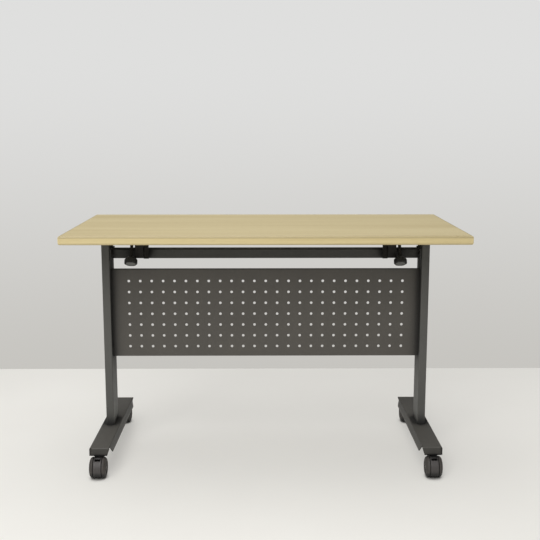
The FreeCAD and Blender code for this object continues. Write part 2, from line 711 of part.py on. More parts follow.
# Release latches: a cross shaft in each top bracket with a hook at one end and a knobbed lever at the other.
# Turned by its opening angle, the hook hangs upright with its lip under a keeper welded on the beam's front.
hub = "latch_hub_radius"
hook_front = "(hook_set - hook_thickness)"
keepers = []
for side_name, side in SIDES:
    shaft_from, shaft_to = span(side, "bracket_in - side_gap - hook_width", "lever_x + lever_width / 2")
    keep(rod(f"{side_name}_shaft_rod", "latch_shaft_diameter", f"({shaft_to}) - ({shaft_from})",
             shaft_from, "latch_y", "latch_z", True), f"{side_name}_latch_shaft")

    bore = ("0", "0", "latch_shaft_diameter / 2 + running_gap")
    hook = extrude(f"{side_name}_hook_strap", "YZ_Plane", [[
        (hook_front, "hook_foot"), ("lip_reach", "hook_foot"),
        ("lip_reach", "hook_foot + lip_thickness"), ("hook_set", "hook_foot + lip_thickness"),
        ("hook_set", f"-sqrt({hub} ^ 2 - hook_set ^ 2)"),
        (hub, "0", hub, "left"), ("0", hub, hub, "left"), (f"-{hub}", "0", hub, "left"),
        (hook_front, f"-sqrt({hub} ^ 2 - {hook_front} ^ 2)", hub, "left"),
    ]], "hook_width", [bore])
    hook_from, hook_to = span(side, "bracket_in - side_gap - hook_width", "bracket_in - side_gap")
    keep(place(hook, hook_from, "latch_y", "latch_z", "1; 0; 0", "-hook_open"), f"{side_name}_latch_hook")
    keepers.append(box(f"{side_name}_keeper", hook_from, hook_to, "beam_front - keeper_depth", "beam_front",
                       "keeper_foot", "keeper_foot + keeper_height"))

    arm = "lever_thickness / 2"
    arm_root = f"-sqrt({hub} ^ 2 - ({arm}) ^ 2)"
    lever = extrude(f"{side_name}_lever_arm", "YZ_Plane", [[
        (f"-({arm})", "-knob_top"), (arm, "-knob_top"), (arm, arm_root),
        (hub, "0", hub, "left"), ("0", hub, hub, "left"), (f"-{hub}", "0", hub, "left"),
        (f"-({arm})", arm_root, hub, "left"),
    ]], "lever_width", [bore])
    lever_from, _ = span(side, "lever_x - lever_width / 2", "lever_x + lever_width / 2")
    keep(place(lever, lever_from, "latch_y", "latch_z", "1; 0; 0", "-lever_tilt"), f"{side_name}_latch_lever")

    knob = turned(f"{side_name}_knob_body", [
        ("0", "-knob_reach"), ("knob_diameter / 2 - knob_edge", "-knob_reach"),
        ("knob_diameter / 2", "knob_edge - knob_reach", "knob_edge", "left"),
        ("knob_diameter / 2", "knob_rim - knob_reach"),
        ("knob_neck_diameter / 2", "-knob_top", "knob_height", "left"),
        ("0", "-knob_top"),
    ])
    lobe_sketch = new_sketch(knob, "XY_Plane")
    add_circle(lobe_sketch, "0", "knob_diameter / 2 + lobe_radius - lobe_depth", "lobe_radius")
    lobe = knob.newObject("PartDesign::Pocket", f"{side_name}_lobe")
    lobe.Profile = lobe_sketch
    bind(lobe, "Length", "2 * knob_reach")
    lobes = knob.newObject("PartDesign::PolarPattern", f"{side_name}_lobes")
    lobes.Originals = [lobe]
    lobes.Axis = (lobe_sketch, ["N_Axis"])
    lobes.Angle = 360
    bind(lobes, "Occurrences", "lobe_count")
    knob.Tip = lobes
    keep(place(knob, f"{side} * lever_x", "latch_y", "latch_z", "1; 0; 0", "-lever_tilt"),
         f"{side_name}_latch_knob")
keep(group("keeper_group", keepers), "latch_keepers")

# Castors: a hood that swivels on its stem, two wheels on a turning axle and a brake pedal on trunnions
wheel_in = "hood_width / 2 + wheel_gap"
wheel_out = "castor_width / 2"
rim_in = "axle_z - wheel_rim"


def round_axle(radius, turn):
    """A point of the hood's side view at a distance and an angle in degrees from the axle."""
    return f"({radius}) * cos({turn}) - castor_trail", f"({radius}) * sin({turn}) + axle_z"


for end_name, end in (("front", -1), ("rear", 1)):
    for side_name, side in SIDES:
        corner = f"{end_name}_{side_name}"
        x = f"{side} * castor_x"
        y = f"{end} * swivel_y"
        axle_y = f"{end} * (swivel_y + castor_trail)"
        angle = "0" if end < 0 else "180"

        web = extrude(f"{corner}_web", "YZ_Plane", [[
            ("-castor_trail - hood_front", "hood_lift"),
            ("-castor_trail", "axle_z + hood_radius", "hood_radius", "right"),
            ("hood_back", "axle_z + hood_radius"), ("hood_back", "axle_z + hood_heel_rise"),
            ("0", "hood_lift"),
        ]], "hood_width")
        doc.recompute()
        slab = web.Tip
        round_edges = [f"Edge{index}" for index, edge in enumerate(slab.Shape.Edges, start=1)
                       if edge.Curve.TypeId == "Part::GeomCircle"]
        soften = web.newObject("PartDesign::Fillet", f"{corner}_soften")
        soften.Base = (slab, round_edges)
        bind(soften, "Radius", "hood_edge")
        place(web, "-hood_width / 2", "0", "0")
        lid = turned(f"{corner}_lid", [
            ("0", "hood_top - hood_cap_height"), ("hood_cap_diameter / 2", "hood_top - hood_cap_height"),
            ("hood_cap_diameter / 2", "hood_top - hood_cap_edge"),
            ("hood_cap_diameter / 2 - hood_cap_edge", "hood_top", "hood_cap_edge", "left"),
            ("0", "hood_top"),
        ])
        bore = rod(f"{corner}_bore", "stem_diameter + 2 * running_gap",
                   "stem_pin_length + seat_gap + drill_over",
                   "0", "0", "castor_height - collar_height - stem_pin_length - seat_gap")
        axle_bore = rod(f"{corner}_axle_bore", "axle_diameter + 2 * running_gap", "2 * hood_width",
                        "-hood_width", "-castor_trail", "axle_z", True)
        slot = extrude(f"{corner}_slot", "YZ_Plane", [[
            round_axle("slot_floor", "slot_start"), round_axle("slot_floor", "slot_end"),
            round_axle("2 * hood_radius", "slot_end"), round_axle("2 * hood_radius", "slot_start"),
        ]], "pedal_width + 2 * seat_gap")
        place(slot, "-pedal_width / 2 - seat_gap", "0", "0")
        trunnion_bore = rod(f"{corner}_trunnion_bore", "trunnion_diameter + 2 * running_gap", "2 * hood_width",
                            "-hood_width", "-pedal_y", "pedal_pivot_z", True)
        hood = cut(f"{corner}_hood_cut", join(f"{corner}_hood_join", [web, lid]),
                   [bore, axle_bore, slot, trunnion_bore])
        keep(place(hood, x, y, "0", "0; 0; 1", angle), f"{corner}_castor_hood")

        wheel = turned(f"{corner}_wheel", [
            (wheel_in, "axle_diameter / 2 + running_gap"), (wheel_out, "axle_diameter / 2 + running_gap"),
            (wheel_out, "hub_diameter / 2 - wheel_dish"), (f"{wheel_out} - wheel_dish", "hub_diameter / 2"),
            (f"{wheel_out} - wheel_dish", f"{rim_in} - wheel_dish"), (wheel_out, rim_in),
            (wheel_out, "axle_z - tread_radius"),
            (f"{wheel_out} - tread_radius", "axle_z", "tread_radius", "left"),
            (f"{wheel_in} + wheel_chamfer", "axle_z"), (wheel_in, "axle_z - wheel_chamfer"),
        ], "XY_Plane", "H_Axis")
        twin = doc.addObject("Part::Mirroring", f"{corner}_twin")
        twin.Source = wheel
        twin.Normal = FreeCAD.Vector(1, 0, 0)
        keep(place(group(f"{corner}_wheel_pair", [wheel, twin]), x, axle_y, "axle_z"), f"{corner}_wheels")
        keep(rod(f"{corner}_axle_rod", "axle_diameter", "castor_width - 2 * side_gap",
                 f"{x} - castor_width / 2 + side_gap", axle_y, "axle_z", True), f"{corner}_axle")

        grip_radius = "pedal_radius + grip_height"
        tongue = extrude(f"{corner}_tongue", "YZ_Plane", [[
            (*round_axle("pedal_radius", "grip_start"), "pedal_radius", "left"),
            round_axle(grip_radius, "grip_start + grip_slope"),
            round_axle(grip_radius, "pedal_end"),
            round_axle("pedal_inner", "pedal_end"),
            (*round_axle("pedal_inner", "pedal_start"), "pedal_inner", "right"),
            round_axle("pedal_radius", "pedal_start"),
        ]], "pedal_width")
        place(tongue, "-pedal_width / 2", "0", "0")
        trunnion = rod(f"{corner}_trunnion", "trunnion_diameter", "hood_width - 2 * side_gap",
                       "side_gap - hood_width / 2", "-pedal_y", "pedal_pivot_z", True)
        pedal = join(f"{corner}_pedal_join", [tongue, trunnion])
        keep(place(pedal, x, y, "0", "0; 0; 1", angle), f"{corner}_brake_pedal")

doc.recompute()
for item in doc.Objects:
    if "Invalid" in item.State or "Error" in item.State:
        raise RuntimeError(f"{item.Label} failed: {item.State}")
for item in pieces:
    if item.Shape.isNull() or not item.Shape.isValid() or item.Shape.Volume <= 0:
        raise RuntimeError(f"{item.Label} has no valid shape")

os.makedirs("parts", exist_ok=True)
for item in pieces:
    item.Shape.exportStep(f"parts/{item.Label}.step")
    solids = len(item.Shape.Solids)
    print(f"{item.Label}: {solids} solid(s), {item.Shape.Volume / 1000:.2f} cm3")
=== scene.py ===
import json
import math

import bmesh
import bpy
import numpy as np
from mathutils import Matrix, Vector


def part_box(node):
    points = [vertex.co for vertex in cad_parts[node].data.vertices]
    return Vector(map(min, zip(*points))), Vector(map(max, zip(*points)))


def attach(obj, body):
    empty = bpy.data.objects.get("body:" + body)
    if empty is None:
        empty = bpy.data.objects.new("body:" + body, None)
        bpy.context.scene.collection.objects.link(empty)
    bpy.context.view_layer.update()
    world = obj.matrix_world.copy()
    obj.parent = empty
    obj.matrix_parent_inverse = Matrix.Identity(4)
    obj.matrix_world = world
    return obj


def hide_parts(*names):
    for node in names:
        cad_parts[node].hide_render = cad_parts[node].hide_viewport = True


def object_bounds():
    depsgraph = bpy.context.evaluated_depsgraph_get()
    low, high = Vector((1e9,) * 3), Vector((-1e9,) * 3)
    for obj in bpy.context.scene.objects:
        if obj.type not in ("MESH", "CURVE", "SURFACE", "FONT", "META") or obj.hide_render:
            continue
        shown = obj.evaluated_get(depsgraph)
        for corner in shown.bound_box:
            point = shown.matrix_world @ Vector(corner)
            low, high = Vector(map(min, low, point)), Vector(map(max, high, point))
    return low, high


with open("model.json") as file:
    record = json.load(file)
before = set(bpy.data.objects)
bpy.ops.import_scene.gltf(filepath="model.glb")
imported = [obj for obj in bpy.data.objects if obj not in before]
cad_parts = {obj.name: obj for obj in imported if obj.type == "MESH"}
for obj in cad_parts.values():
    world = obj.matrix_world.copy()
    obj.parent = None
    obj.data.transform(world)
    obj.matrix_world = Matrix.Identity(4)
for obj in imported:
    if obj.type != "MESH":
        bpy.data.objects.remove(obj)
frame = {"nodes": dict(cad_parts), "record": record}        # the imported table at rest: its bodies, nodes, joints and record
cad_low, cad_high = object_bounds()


# Columns
# Two upright steel tubes, 25 x 86 mm with rounded corners, cut square and drilled on the inner wall.
# They are powder coated dark grey. A plastic cap closes the top and a steel plate is welded in the base.

class Signal:
    """An output socket of a node in a finish. Arithmetic on it adds Math nodes to that finish."""

    def __init__(self, finish, socket):
        self.finish = finish
        self.socket = socket

    def math(self, operation, first, second):
        """Adds a Math node that takes two signals, or a signal and a number."""
        return self.finish.node("ShaderNodeMath", {"operation": operation}, {0: first, 1: second})

    def __add__(self, other):
        return self.math("ADD", self, other)

    def __radd__(self, other):
        return self.math("ADD", other, self)

    def __sub__(self, other):
        return self.math("SUBTRACT", self, other)

    def __rsub__(self, other):
        return self.math("SUBTRACT", other, self)

    def __mul__(self, other):
        return self.math("MULTIPLY", self, other)

    def __rmul__(self, other):
        return self.math("MULTIPLY", other, self)


class Finish:
    """The nodes of a material or of the world: one shader, whose sockets take plain values or signals."""

    def __init__(self, name, family=bpy.data.materials, shader="BSDF_PRINCIPLED"):
        self.material = family.new(name)
        self.material.use_nodes = True
        self.tree = self.material.node_tree
        self.shader = next(node for node in self.tree.nodes if node.type == shader)

    def feed(self, sockets, values):
        """Gives each named socket its value, or a link where the value is a signal."""
        for name, value in values.items():
            if isinstance(value, Signal):
                self.tree.links.new(value.socket, sockets[name])
            else:
                sockets[name].default_value = value

    def node(self, kind, settings, values, output=0):
        """Adds a node: first its settings, then a value or a link on each named socket."""
        made = self.tree.nodes.new(kind)
        for name, value in settings.items():
            setattr(made, name, value)
        self.feed(made.inputs, values)
        return Signal(self, made.outputs[output])

    def spot(self, stretch=(1.0, 1.0, 1.0)):
        """The place on the piece in metres, multiplied along each axis."""
        place = self.node("ShaderNodeTexCoord", {}, {}, "Object")
        return self.node("ShaderNodeVectorMath", {"operation": "MULTIPLY"}, {0: place, 1: stretch})

    def noise(self, spot, scale, detail=2.0):
        """Cloudy noise from 0 to 1, with a given number of clouds per metre and of finer layers on them."""
        values = {"Vector": spot, "Scale": scale, "Detail": detail}
        return self.node("ShaderNodeTexNoise", {}, values, "Fac")

    def step(self, value, low, high):
        """A soft step: 0 below the low value, 1 above the high one."""
        return self.node("ShaderNodeMapRange", {"interpolation_type": "SMOOTHSTEP"},
                         {"Value": value, "From Min": low, "From Max": high})

    def blend(self, share, first, second):
        """A colour between two: the first at a share of 0, the second at 1."""
        return self.node("ShaderNodeMix", {"data_type": "RGBA"}, {0: share, 6: first, 7: second}, 2)

    def bump(self, height, depth, edge=0.0):
        """A normal bent by a height of up to the given depth, on edges that look rounded by a radius."""
        values = {"Height": height, "Distance": depth}
        if edge:
            values["Normal"] = self.node("ShaderNodeBevel", {"samples": 6}, {"Radius": edge})
        return self.node("ShaderNodeBump", {}, values, "Normal")

    def upward(self):
        """How far each face looks up, from -1 to 1."""
        normal = self.node("ShaderNodeNewGeometry", {}, {}, "Normal")
        return self.node("ShaderNodeSeparateXYZ", {}, {0: normal}, "Z")

    def height(self):
        """The height on the piece in metres."""
        return self.node("ShaderNodeSeparateXYZ", {}, {0: self.spot()}, "Z")

    def hollow(self, reach):
        """How deep each spot lies in a corner, from 0 in the open towards 1, over a reach in metres."""
        return 1 - self.node("ShaderNodeAmbientOcclusion", {"samples": 12}, {"Distance": reach}, "AO")

    def coat(self, **values):
        """Sets the shader's sockets, named with _ for each space."""
        self.feed(self.shader.inputs, {name.replace("_", " "): value for name, value in values.items()})

    def dress(self, *names):
        """Puts this finish on CAD nodes."""
        for name in names:
            materials = frame["nodes"][name].data.materials
            materials.clear()
            materials.append(self.material)


def paint(red, green, blue):
    """A display colour of 0 to 255 as the linear colour that a shader needs."""
    shares = np.array([red, green, blue]) / 255
    linear = np.where(shares <= 0.04045, shares / 12.92, ((shares + 0.055) / 1.055) ** 2.4)
    return (*linear.tolist(), 1.0)


def powder_coat(name, deep, pale, edge, dust_and_light_share=0.22):
    """Baked powder: an orange peel about 1 mm across, a slow drift in tone, a few pale specks, dust and
    painted light on what faces up, and painted shade that darkens and roughens the corners."""
    finish = Finish(name)
    spot = finish.spot()
    peel = finish.noise(spot, 900.0)
    drift = finish.noise(spot, 6.0, detail=4.0)
    speck = finish.step(finish.noise(spot, 420.0, detail=1.0), low=0.66, high=0.74)
    patchy = 0.7 + 0.4 * finish.noise(spot, 60.0, detail=5.0)
    # Dust and painted light: faces that look up are lightened, partly as dust and partly as light from
    # above.
    dust_and_top_light = finish.step(finish.upward(), low=0.4, high=1.0) * patchy
    # Painted shade: spots deep in corners or close under other parts are darkened as if shaded, and made
    # rougher.
    painted_shade = finish.step(finish.hollow(reach=0.06), low=0.04, high=0.40)
    tone = finish.blend(drift * 0.8 + peel * 0.2, deep, pale)
    tone = finish.blend(speck * 0.25, tone, paint(120, 120, 116))
    tone = finish.blend(dust_and_top_light * dust_and_light_share, tone, paint(150, 147, 140))
    tone = finish.blend(painted_shade * 0.88, tone, paint(14, 13, 12))
    finish.coat(Base_Color=tone, Roughness=0.42 + 0.16 * peel + 0.10 * dust_and_top_light + 0.35 * painted_shade,
                Normal=finish.bump(peel, 0.00016, edge))
    return finish


COAT_EDGE = 0.0008       # the radius that baked powder leaves on a cut edge
grey_coat = powder_coat("grey_powder_coat", paint(68, 68, 65), paint(88, 87, 83), COAT_EDGE)
grey_coat.dress("left_column", "right_column", "left_base_plate", "right_base_plate")

# The near-black that painted shade turns corners and spots close to the floor towards.
painted_shade_tone = paint(8, 8, 7)


def moulded(name, deep, pale, shine, grain, painted_shade=0.0):
    """Moulded plastic: a fine spark-eroded grain, faint flow marks and rubbed patches, with a share of
    painted shade that darkens its corners and what lies close to the floor."""
    finish = Finish(name)
    spot = finish.spot()
    pits = finish.noise(spot, grain, detail=1.0)
    flow = finish.noise(spot, 28.0, detail=4.0)
    rubbed = finish.step(finish.noise(spot, 60.0, detail=6.0), low=0.52, high=0.72)
    tone = finish.blend(flow, deep, pale)
    if painted_shade:
        # Painted shade: corners and spots close to the floor are darkened as if shaded.
        corners = finish.step(finish.hollow(reach=0.04), low=0.08, high=0.42)
        tone = finish.blend(corners * painted_shade, tone, painted_shade_tone)
    finish.coat(Base_Color=tone, Roughness=shine + 0.12 * pits - 0.10 * rubbed,
                Normal=finish.bump(pits, 0.00008, edge=0.0006))
    return finish


black_plastic = moulded("black_plastic", paint(20, 20, 20), paint(30, 30, 29), shine=0.42, grain=2200.0)
black_plastic.dress("left_column_cap", "right_column_cap")


# Feet
# Each foot is one 2 mm sheet, folded down on all four sides into a shallow tray that opens downwards.
# The corners are relieved. The inner fold slopes towards the table's middle and is cut back near both ends.

SIDES = (("left", -1), ("right", 1))
ENDS = (-1, 1)
FOOT_SHEET = 0.002
FOOT_BEND = 0.003        # the radius of the bends on the outer side and at the ends
FOLD_BEND = 0.003        # the radius of the bend above the inner fold
FOLD_LEAN = 0.006        # how far the inner fold slopes
FOLD_SLANT = 0.036       # how far from the foot's end its lower edge starts to rise
FLAP_START = 0.005       # where an end flap starts, from the inner side
FLAP_SLANT = 0.007       # how far the flap's edge draws in on its way down
RELIEF_WIDTH = 0.009     # the cut-out at an inner corner, across the foot
RELIEF_LENGTH = 0.020    # and along it
WALL_ROWS = 4
TOP_ROWS = 8


def arc(first, last, count):
    """Cosines and sines along an arc between two angles in degrees."""
    turn = np.radians(np.linspace(first, last, count))
    return np.cos(turn), np.sin(turn)


def grid_faces(rows, columns, wrap):
    """Four-point faces between neighbours of a grid; with wrap the last column joins the first."""
    index = np.arange(rows * columns).reshape(rows, columns)
    if wrap:
        index = np.concatenate([index, index[:, :1]], axis=1)
    corners = [index[:-1, :-1], index[:-1, 1:], index[1:, 1:], index[1:, :-1]]
    return np.stack(corners, axis=-1).reshape(-1, 4)


def make_piece(name, finish, grids, wrap=True, facing=None, thickness=0.0, sharp=32.0):
    """Joins grids of points into one mesh. Doubles merge, which closes seams and poles, faces of no area
    go, and the rest turn outwards.

    An open sheet is turned towards the facing direction and then given its thickness behind that face."""
    points = []
    faces = []
    start = 0
    for grid in grids:
        rows, columns = grid.shape[:2]
        points.append(grid.reshape(-1, 3))
        faces.append(grid_faces(rows, columns, wrap) + start)
        start += rows * columns
    mesh = bpy.data.meshes.new(name)
    mesh.from_pydata(np.concatenate(points).tolist(), [], np.concatenate(faces).tolist())
    shell = bmesh.new()
    shell.from_mesh(mesh)
    bmesh.ops.remove_doubles(shell, verts=shell.verts, dist=2e-6)
    bmesh.ops.dissolve_degenerate(shell, dist=1e-5, edges=shell.edges)
    bmesh.ops.recalc_face_normals(shell, faces=shell.faces)
    shell.to_mesh(mesh)
    shell.free()
    if facing is not None:
        normals = np.empty(3 * len(mesh.polygons), dtype=np.float32)
        areas = np.empty(len(mesh.polygons), dtype=np.float32)
        mesh.polygons.foreach_get("normal", normals)
        mesh.polygons.foreach_get("area", areas)
        if areas @ normals.reshape(-1, 3) @ np.array(facing) < 0:
            mesh.flip_normals()
    mesh.shade_smooth()
    mesh.set_sharp_from_angle(angle=math.radians(sharp))
    mesh.materials.append(finish.material)
    piece = bpy.data.objects.new(name, mesh)
    bpy.context.scene.collection.objects.link(piece)
    if thickness:
        wall = piece.modifiers.new("sheet", "SOLIDIFY")
        wall.thickness = thickness
        wall.offset = -1.0
    return piece


def folded_foot(low, high, side):
    """Grids of a tray's outer face: a section of sloping wall, bend, top, bend and upright wall, carried
    along the foot, and at each end a flap that follows a quarter bend and then drops straight.

    u runs across from the inner side. Each row of the section stops short of the foot's end by the share
    of the end bend, or near the inner side by the relief, which falls evenly to 0 at its width. Between
    slant and relief the sloping wall's lower edge rises evenly to the fold, and the wall's u grows evenly
    with its height."""
    inner = high.x if side < 0 else low.x
    width = high.x - low.x
    reach = (high.y - low.y) / 2
    bend_z = high.z - FOOT_BEND
    fold_z = high.z - FOLD_BEND
    climb = np.linspace(0.0, 1.0, WALL_ROWS)
    top_u = np.linspace(FOLD_LEAN + FOLD_BEND, width - FOOT_BEND, TOP_ROWS)
    cos_in, sin_in = arc(180, 90, 9)
    cos_out, sin_out = arc(90, 0, 6)
    u = np.concatenate([FOLD_LEAN * climb, FOLD_LEAN + FOLD_BEND * (1 + cos_in), top_u,
                        width - FOOT_BEND * (1 - cos_out), np.full(WALL_ROWS, width)])
    end_bend = FOOT_BEND * np.concatenate([np.zeros(WALL_ROWS), sin_in ** 2, np.ones(TOP_ROWS), sin_out,
                                           np.zeros(WALL_ROWS)])
    relief = RELIEF_LENGTH * np.clip(1 - u / RELIEF_WIDTH, 0.0, 1.0)
    near_end = np.linspace(0.85, 1.0, 9)
    along = np.concatenate([-near_end[::-1], np.linspace(-0.8, 0.8, 17), near_end])
    y = (reach - np.maximum(end_bend, relief))[:, None] * along

    past_slant = np.abs(y[:WALL_ROWS]) - reach + FOLD_SLANT
    hem_z = low.z + (fold_z - low.z) * np.clip(past_slant / (FOLD_SLANT - RELIEF_LENGTH), 0.0, 1.0)
    sloping_z = hem_z + (fold_z - hem_z) * climb[:, None]
    sloping_u = FOLD_LEAN * (sloping_z - low.z) / (fold_z - low.z)
    level_z = np.concatenate([fold_z + FOLD_BEND * sin_in, np.full(TOP_ROWS, high.z),
                              bend_z + FOOT_BEND * sin_out, bend_z - (bend_z - low.z) * climb])
    every = np.ones(len(along))
    x = inner + side * np.concatenate([sloping_u, u[WALL_ROWS:, None] * every])
    z = np.concatenate([sloping_z, level_z[:, None] * every])
    grids = [np.stack([x, y, z], axis=-1)]

    drop = np.linspace(0.0, 1.0, 5)[1:]
    flap_z = np.concatenate([bend_z + FOOT_BEND * sin_out, bend_z - (bend_z - low.z) * drop])
    flap_y = np.concatenate([reach - FOOT_BEND * (1 - cos_out), np.full(len(drop), reach)])
    edge_u = FLAP_START + FLAP_SLANT * np.concatenate([np.zeros(len(cos_out)), drop])
    share = np.concatenate([[0.0], (top_u - FLAP_START) / (width - FOOT_BEND - FLAP_START)])
    flap_u = edge_u[:, None] + share * (width - FOOT_BEND - edge_u)[:, None]
    for end in ENDS:
        flap = np.broadcast_arrays(inner + side * flap_u, end * flap_y[:, None], flap_z[:, None])
        grids.append(np.stack(flap, axis=-1))
    return grids


# The feet's coat is darker than the columns', a painted shade on their folds, with a larger share of dust
# and painted light on what faces up.
shaded_foot_coat = powder_coat("shaded_foot_powder_coat", paint(50, 48, 44), paint(61, 59, 54), edge=0.0, dust_and_light_share=0.24)
for side_name, side in SIDES:
    low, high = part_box(f"{side_name}_foot")
    foot = make_piece(f"{side_name}_folded_foot", shaded_foot_coat, folded_foot(low, high, side), wrap=False,
                      facing=(0.0, 0.0, 1.0), thickness=FOOT_SHEET, sharp=40)
    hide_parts(f"{side_name}_foot")
    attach(foot, "frame")


# Base bolts, stem bosses and stems
# M8 button-head bolts with a hexagon socket hold each foot to its column from below, zinc plated.
# Round steel bosses are welded under the foot, and the castors' ground stems are pressed into them.

BOLT_HEAD = 0.014
BOLT_RISE = 0.0045
BOLT_SHANK = 0.008
SOCKET_FLATS = 0.005
SOCKET_DEPTH = 0.0025
BASE_BOLT_LENGTH = 0.008
HEAD_SIDES = 48
HEAD_RIM = 0.28          # the share of a head's height below its dome
FACE_MARGIN = 1.12       # the flat round a recess, as a multiple of its reach
RECESS_TAPER = 0.94
SHANK_CHAMFER = 0.0008


def zinc_plate(name):
    """Bright zinc: cloudy spangle, a slight warm and cool shift, and fine turning marks."""
    finish = Finish(name)
    cloud = finish.noise(finish.spot(), 140.0, detail=4.0)
    marks = finish.noise(finish.spot(), 1500.0, detail=1.0)
    tone = finish.blend(cloud, paint(176, 180, 184), paint(205, 203, 194))
    finish.coat(Base_Color=tone, Metallic=1.0, Roughness=0.26 + 0.22 * cloud,
                Normal=finish.bump(marks, 0.00003, edge=0.0004))
    return finish


zinc = zinc_plate("bright_zinc")
zinc.dress("castor_stems")
grey_coat.dress("stem_bosses")


def full_turn(count):
    """The angles of a whole turn in equal steps."""
    return np.linspace(0.0, 2 * math.pi, count, endpoint=False)


def ring_points(radius, height):
    """Carries rows of (radius, height) round Z, on a grid of rows by angles:
    x = r cos a, y = r sin a, z = h."""
    turn = full_turn(radius.shape[1])
    height = np.broadcast_to(height, radius.shape)
    return np.stack([radius * np.cos(turn), radius * np.sin(turn), height], axis=-1)


def hexagon(turn, flats):
    """The distance from the middle of a hexagon to its side in each direction."""
    return flats / 2 / np.cos((turn + math.pi / 6) % (math.pi / 3) - math.pi / 6)


def button_fastener(head, height, shank, length, recess, sink):
    """A domed head below the origin's plane with a recess in it, and a shank that runs up.

    The rows are rings: the recess's middle, floor and mouth, given by its reach in each direction, then
    round ones over the dome and along the shank to its end."""
    face = FACE_MARGIN * recess.max()
    rise, fall = arc(0, 90, 8)
    round_r = np.concatenate([face + (head / 2 - face) * fall,
                              [head / 2, shank / 2, shank / 2, shank / 2 - SHANK_CHAMFER, 0.0]])
    round_z = np.concatenate([-height * (HEAD_RIM + (1 - HEAD_RIM) * rise),
                              [0.0, 0.0, length - SHANK_CHAMFER, length, length]])
    radius = np.concatenate([[0 * recess, RECESS_TAPER * recess, recess],
                             np.tile(round_r[:, None], len(recess))])
    level = np.concatenate([[sink - height, sink - height, -height], round_z])
    return ring_points(radius, level[:, None])


def hex_bolt(length):
    """A button-head bolt with a hexagon socket."""
    socket = hexagon(full_turn(HEAD_SIDES), SOCKET_FLATS)
    return button_fastener(BOLT_HEAD, BOLT_RISE, BOLT_SHANK, length, socket, SOCKET_DEPTH)


low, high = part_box("base_bolts")
column_x = (high.x - low.x) / 2 - BOLT_HEAD / 2
bolt_y = (high.y - low.y) / 2 - BOLT_HEAD / 2
seat_z = low.z + BOLT_RISE
base_bolt = hex_bolt(BASE_BOLT_LENGTH)
bolts = make_piece("base_bolt_set", zinc,
                   [base_bolt + (side * column_x, end * bolt_y, seat_z)
                    for _, side in SIDES for end in ENDS])
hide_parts("base_bolts")
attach(bolts, "frame")


# Castors
# Four twin-wheel castors: a moulded nylon hood on a swivel stem, two wheels with a soft tread on one axle,
# and a brake pedal that rocks on trunnions in a slot of the hood.

TRAIL = 0.026            # how far the axle lies from the swivel
AXLE_Z = 0.032
HOOD_HALF = 0.013
HOOD_EDGE = 0.003
HOOD_RADIUS = 0.0325
HOOD_TOP = AXLE_Z + HOOD_RADIUS
HOOD_FOOT = 0.009
HOOD_BACK = 0.014
HOOD_SHOULDER = 0.004
HOOD_CHEEK = (-0.018, 0.034)    # the point in the side view where a cheek's faces meet
HEEL_Z = 0.048
SLOT_HALF = 0.0093
SLOT_FROM = 80.0         # degrees about the axle
SLOT_TO = 127.0
SLOT_FLOOR = 0.019


def hood_outline(slotted):
    """The hood's side view as (y, z): an arc about the axle, a flat top and a slanted heel.

    In polar form about the axle the arc is r = R and the flat top r = R / sin a. In the pedal's slot it is
    the chord between the slot's two ends, r = f cos(half the slot) / cos(angle from the slot's middle)."""
    first = 180 + math.degrees(math.asin((AXLE_Z - HOOD_FOOT) / HOOD_RADIUS))
    before_slot = np.radians(np.linspace(first, SLOT_TO, 20))
    in_slot = np.radians(np.linspace(SLOT_TO, SLOT_FROM, 26))
    turn = np.concatenate([before_slot, in_slot])
    radius = HOOD_RADIUS / np.sin(np.minimum(turn, math.pi / 2))
    if slotted:
        half = math.radians(SLOT_TO - SLOT_FROM) / 2
        middle = math.radians(SLOT_TO + SLOT_FROM) / 2
        radius[len(before_slot):] = SLOT_FLOOR * math.cos(half) / np.cos(in_slot - middle)
    front = np.stack([radius * np.cos(turn) - TRAIL, radius * np.sin(turn) + AXLE_Z], axis=-1)
    top_start = HOOD_RADIUS / math.tan(math.radians(SLOT_FROM)) - TRAIL
    top_end = HOOD_BACK - HOOD_SHOULDER
    top = np.linspace((top_start, HOOD_TOP), (top_end, HOOD_TOP), 12)
    cosine, sine = arc(90, 0, 6)
    shoulder = np.stack([top_end + HOOD_SHOULDER * cosine,
                         HOOD_TOP - HOOD_SHOULDER + HOOD_SHOULDER * sine], axis=-1)
    slope = np.linspace((HOOD_BACK, HEEL_Z), (0.0, HOOD_FOOT), 14)
    sole = np.linspace((0.0, HOOD_FOOT), tuple(front[0]), 20)[1:-1]
    return np.concatenate([front, top, shoulder, slope, sole])


def hood_grid():
    """Outlines carried across the hood: drawn in by a quarter round at both sides, slotted between."""
    full = hood_outline(False)
    slotted = hood_outline(True)
    ahead = np.roll(full, -1, axis=0) - np.roll(full, 1, axis=0)
    inward = np.stack([ahead[:, 1], -ahead[:, 0]], axis=-1)
    inward /= np.maximum(np.linalg.norm(inward, axis=1, keepdims=True), 1e-9)
    rows = [(-HOOD_HALF, np.broadcast_to(HOOD_CHEEK, full.shape))]
    for cosine, sine in zip(*arc(0, 90, 6)):
        rows.append((HOOD_EDGE * (1 - cosine) - HOOD_HALF, full + inward * HOOD_EDGE * (1 - sine)))
    rows += [(-SLOT_HALF, full), (-SLOT_HALF, slotted)]
    rows += [(-x, outline) for x, outline in reversed(rows)]
    x = np.array([x for x, _ in rows])[:, None]
    outlines = np.stack([outline for _, outline in rows])
    return np.stack(np.broadcast_arrays(x, outlines[..., 0], outlines[..., 1]), axis=-1)


LID_RADIUS = 0.018
LID_EDGE = 0.002
LID_FROM = 0.061
LID_TO = 0.0657
LID_GROOVE = 0.0006
LID_SIDES = 40


def turned(radius, height, sides):
    """A profile of radii and heights turned round Z in a number of sides."""
    return ring_points(np.tile(radius[:, None], sides), height[:, None])


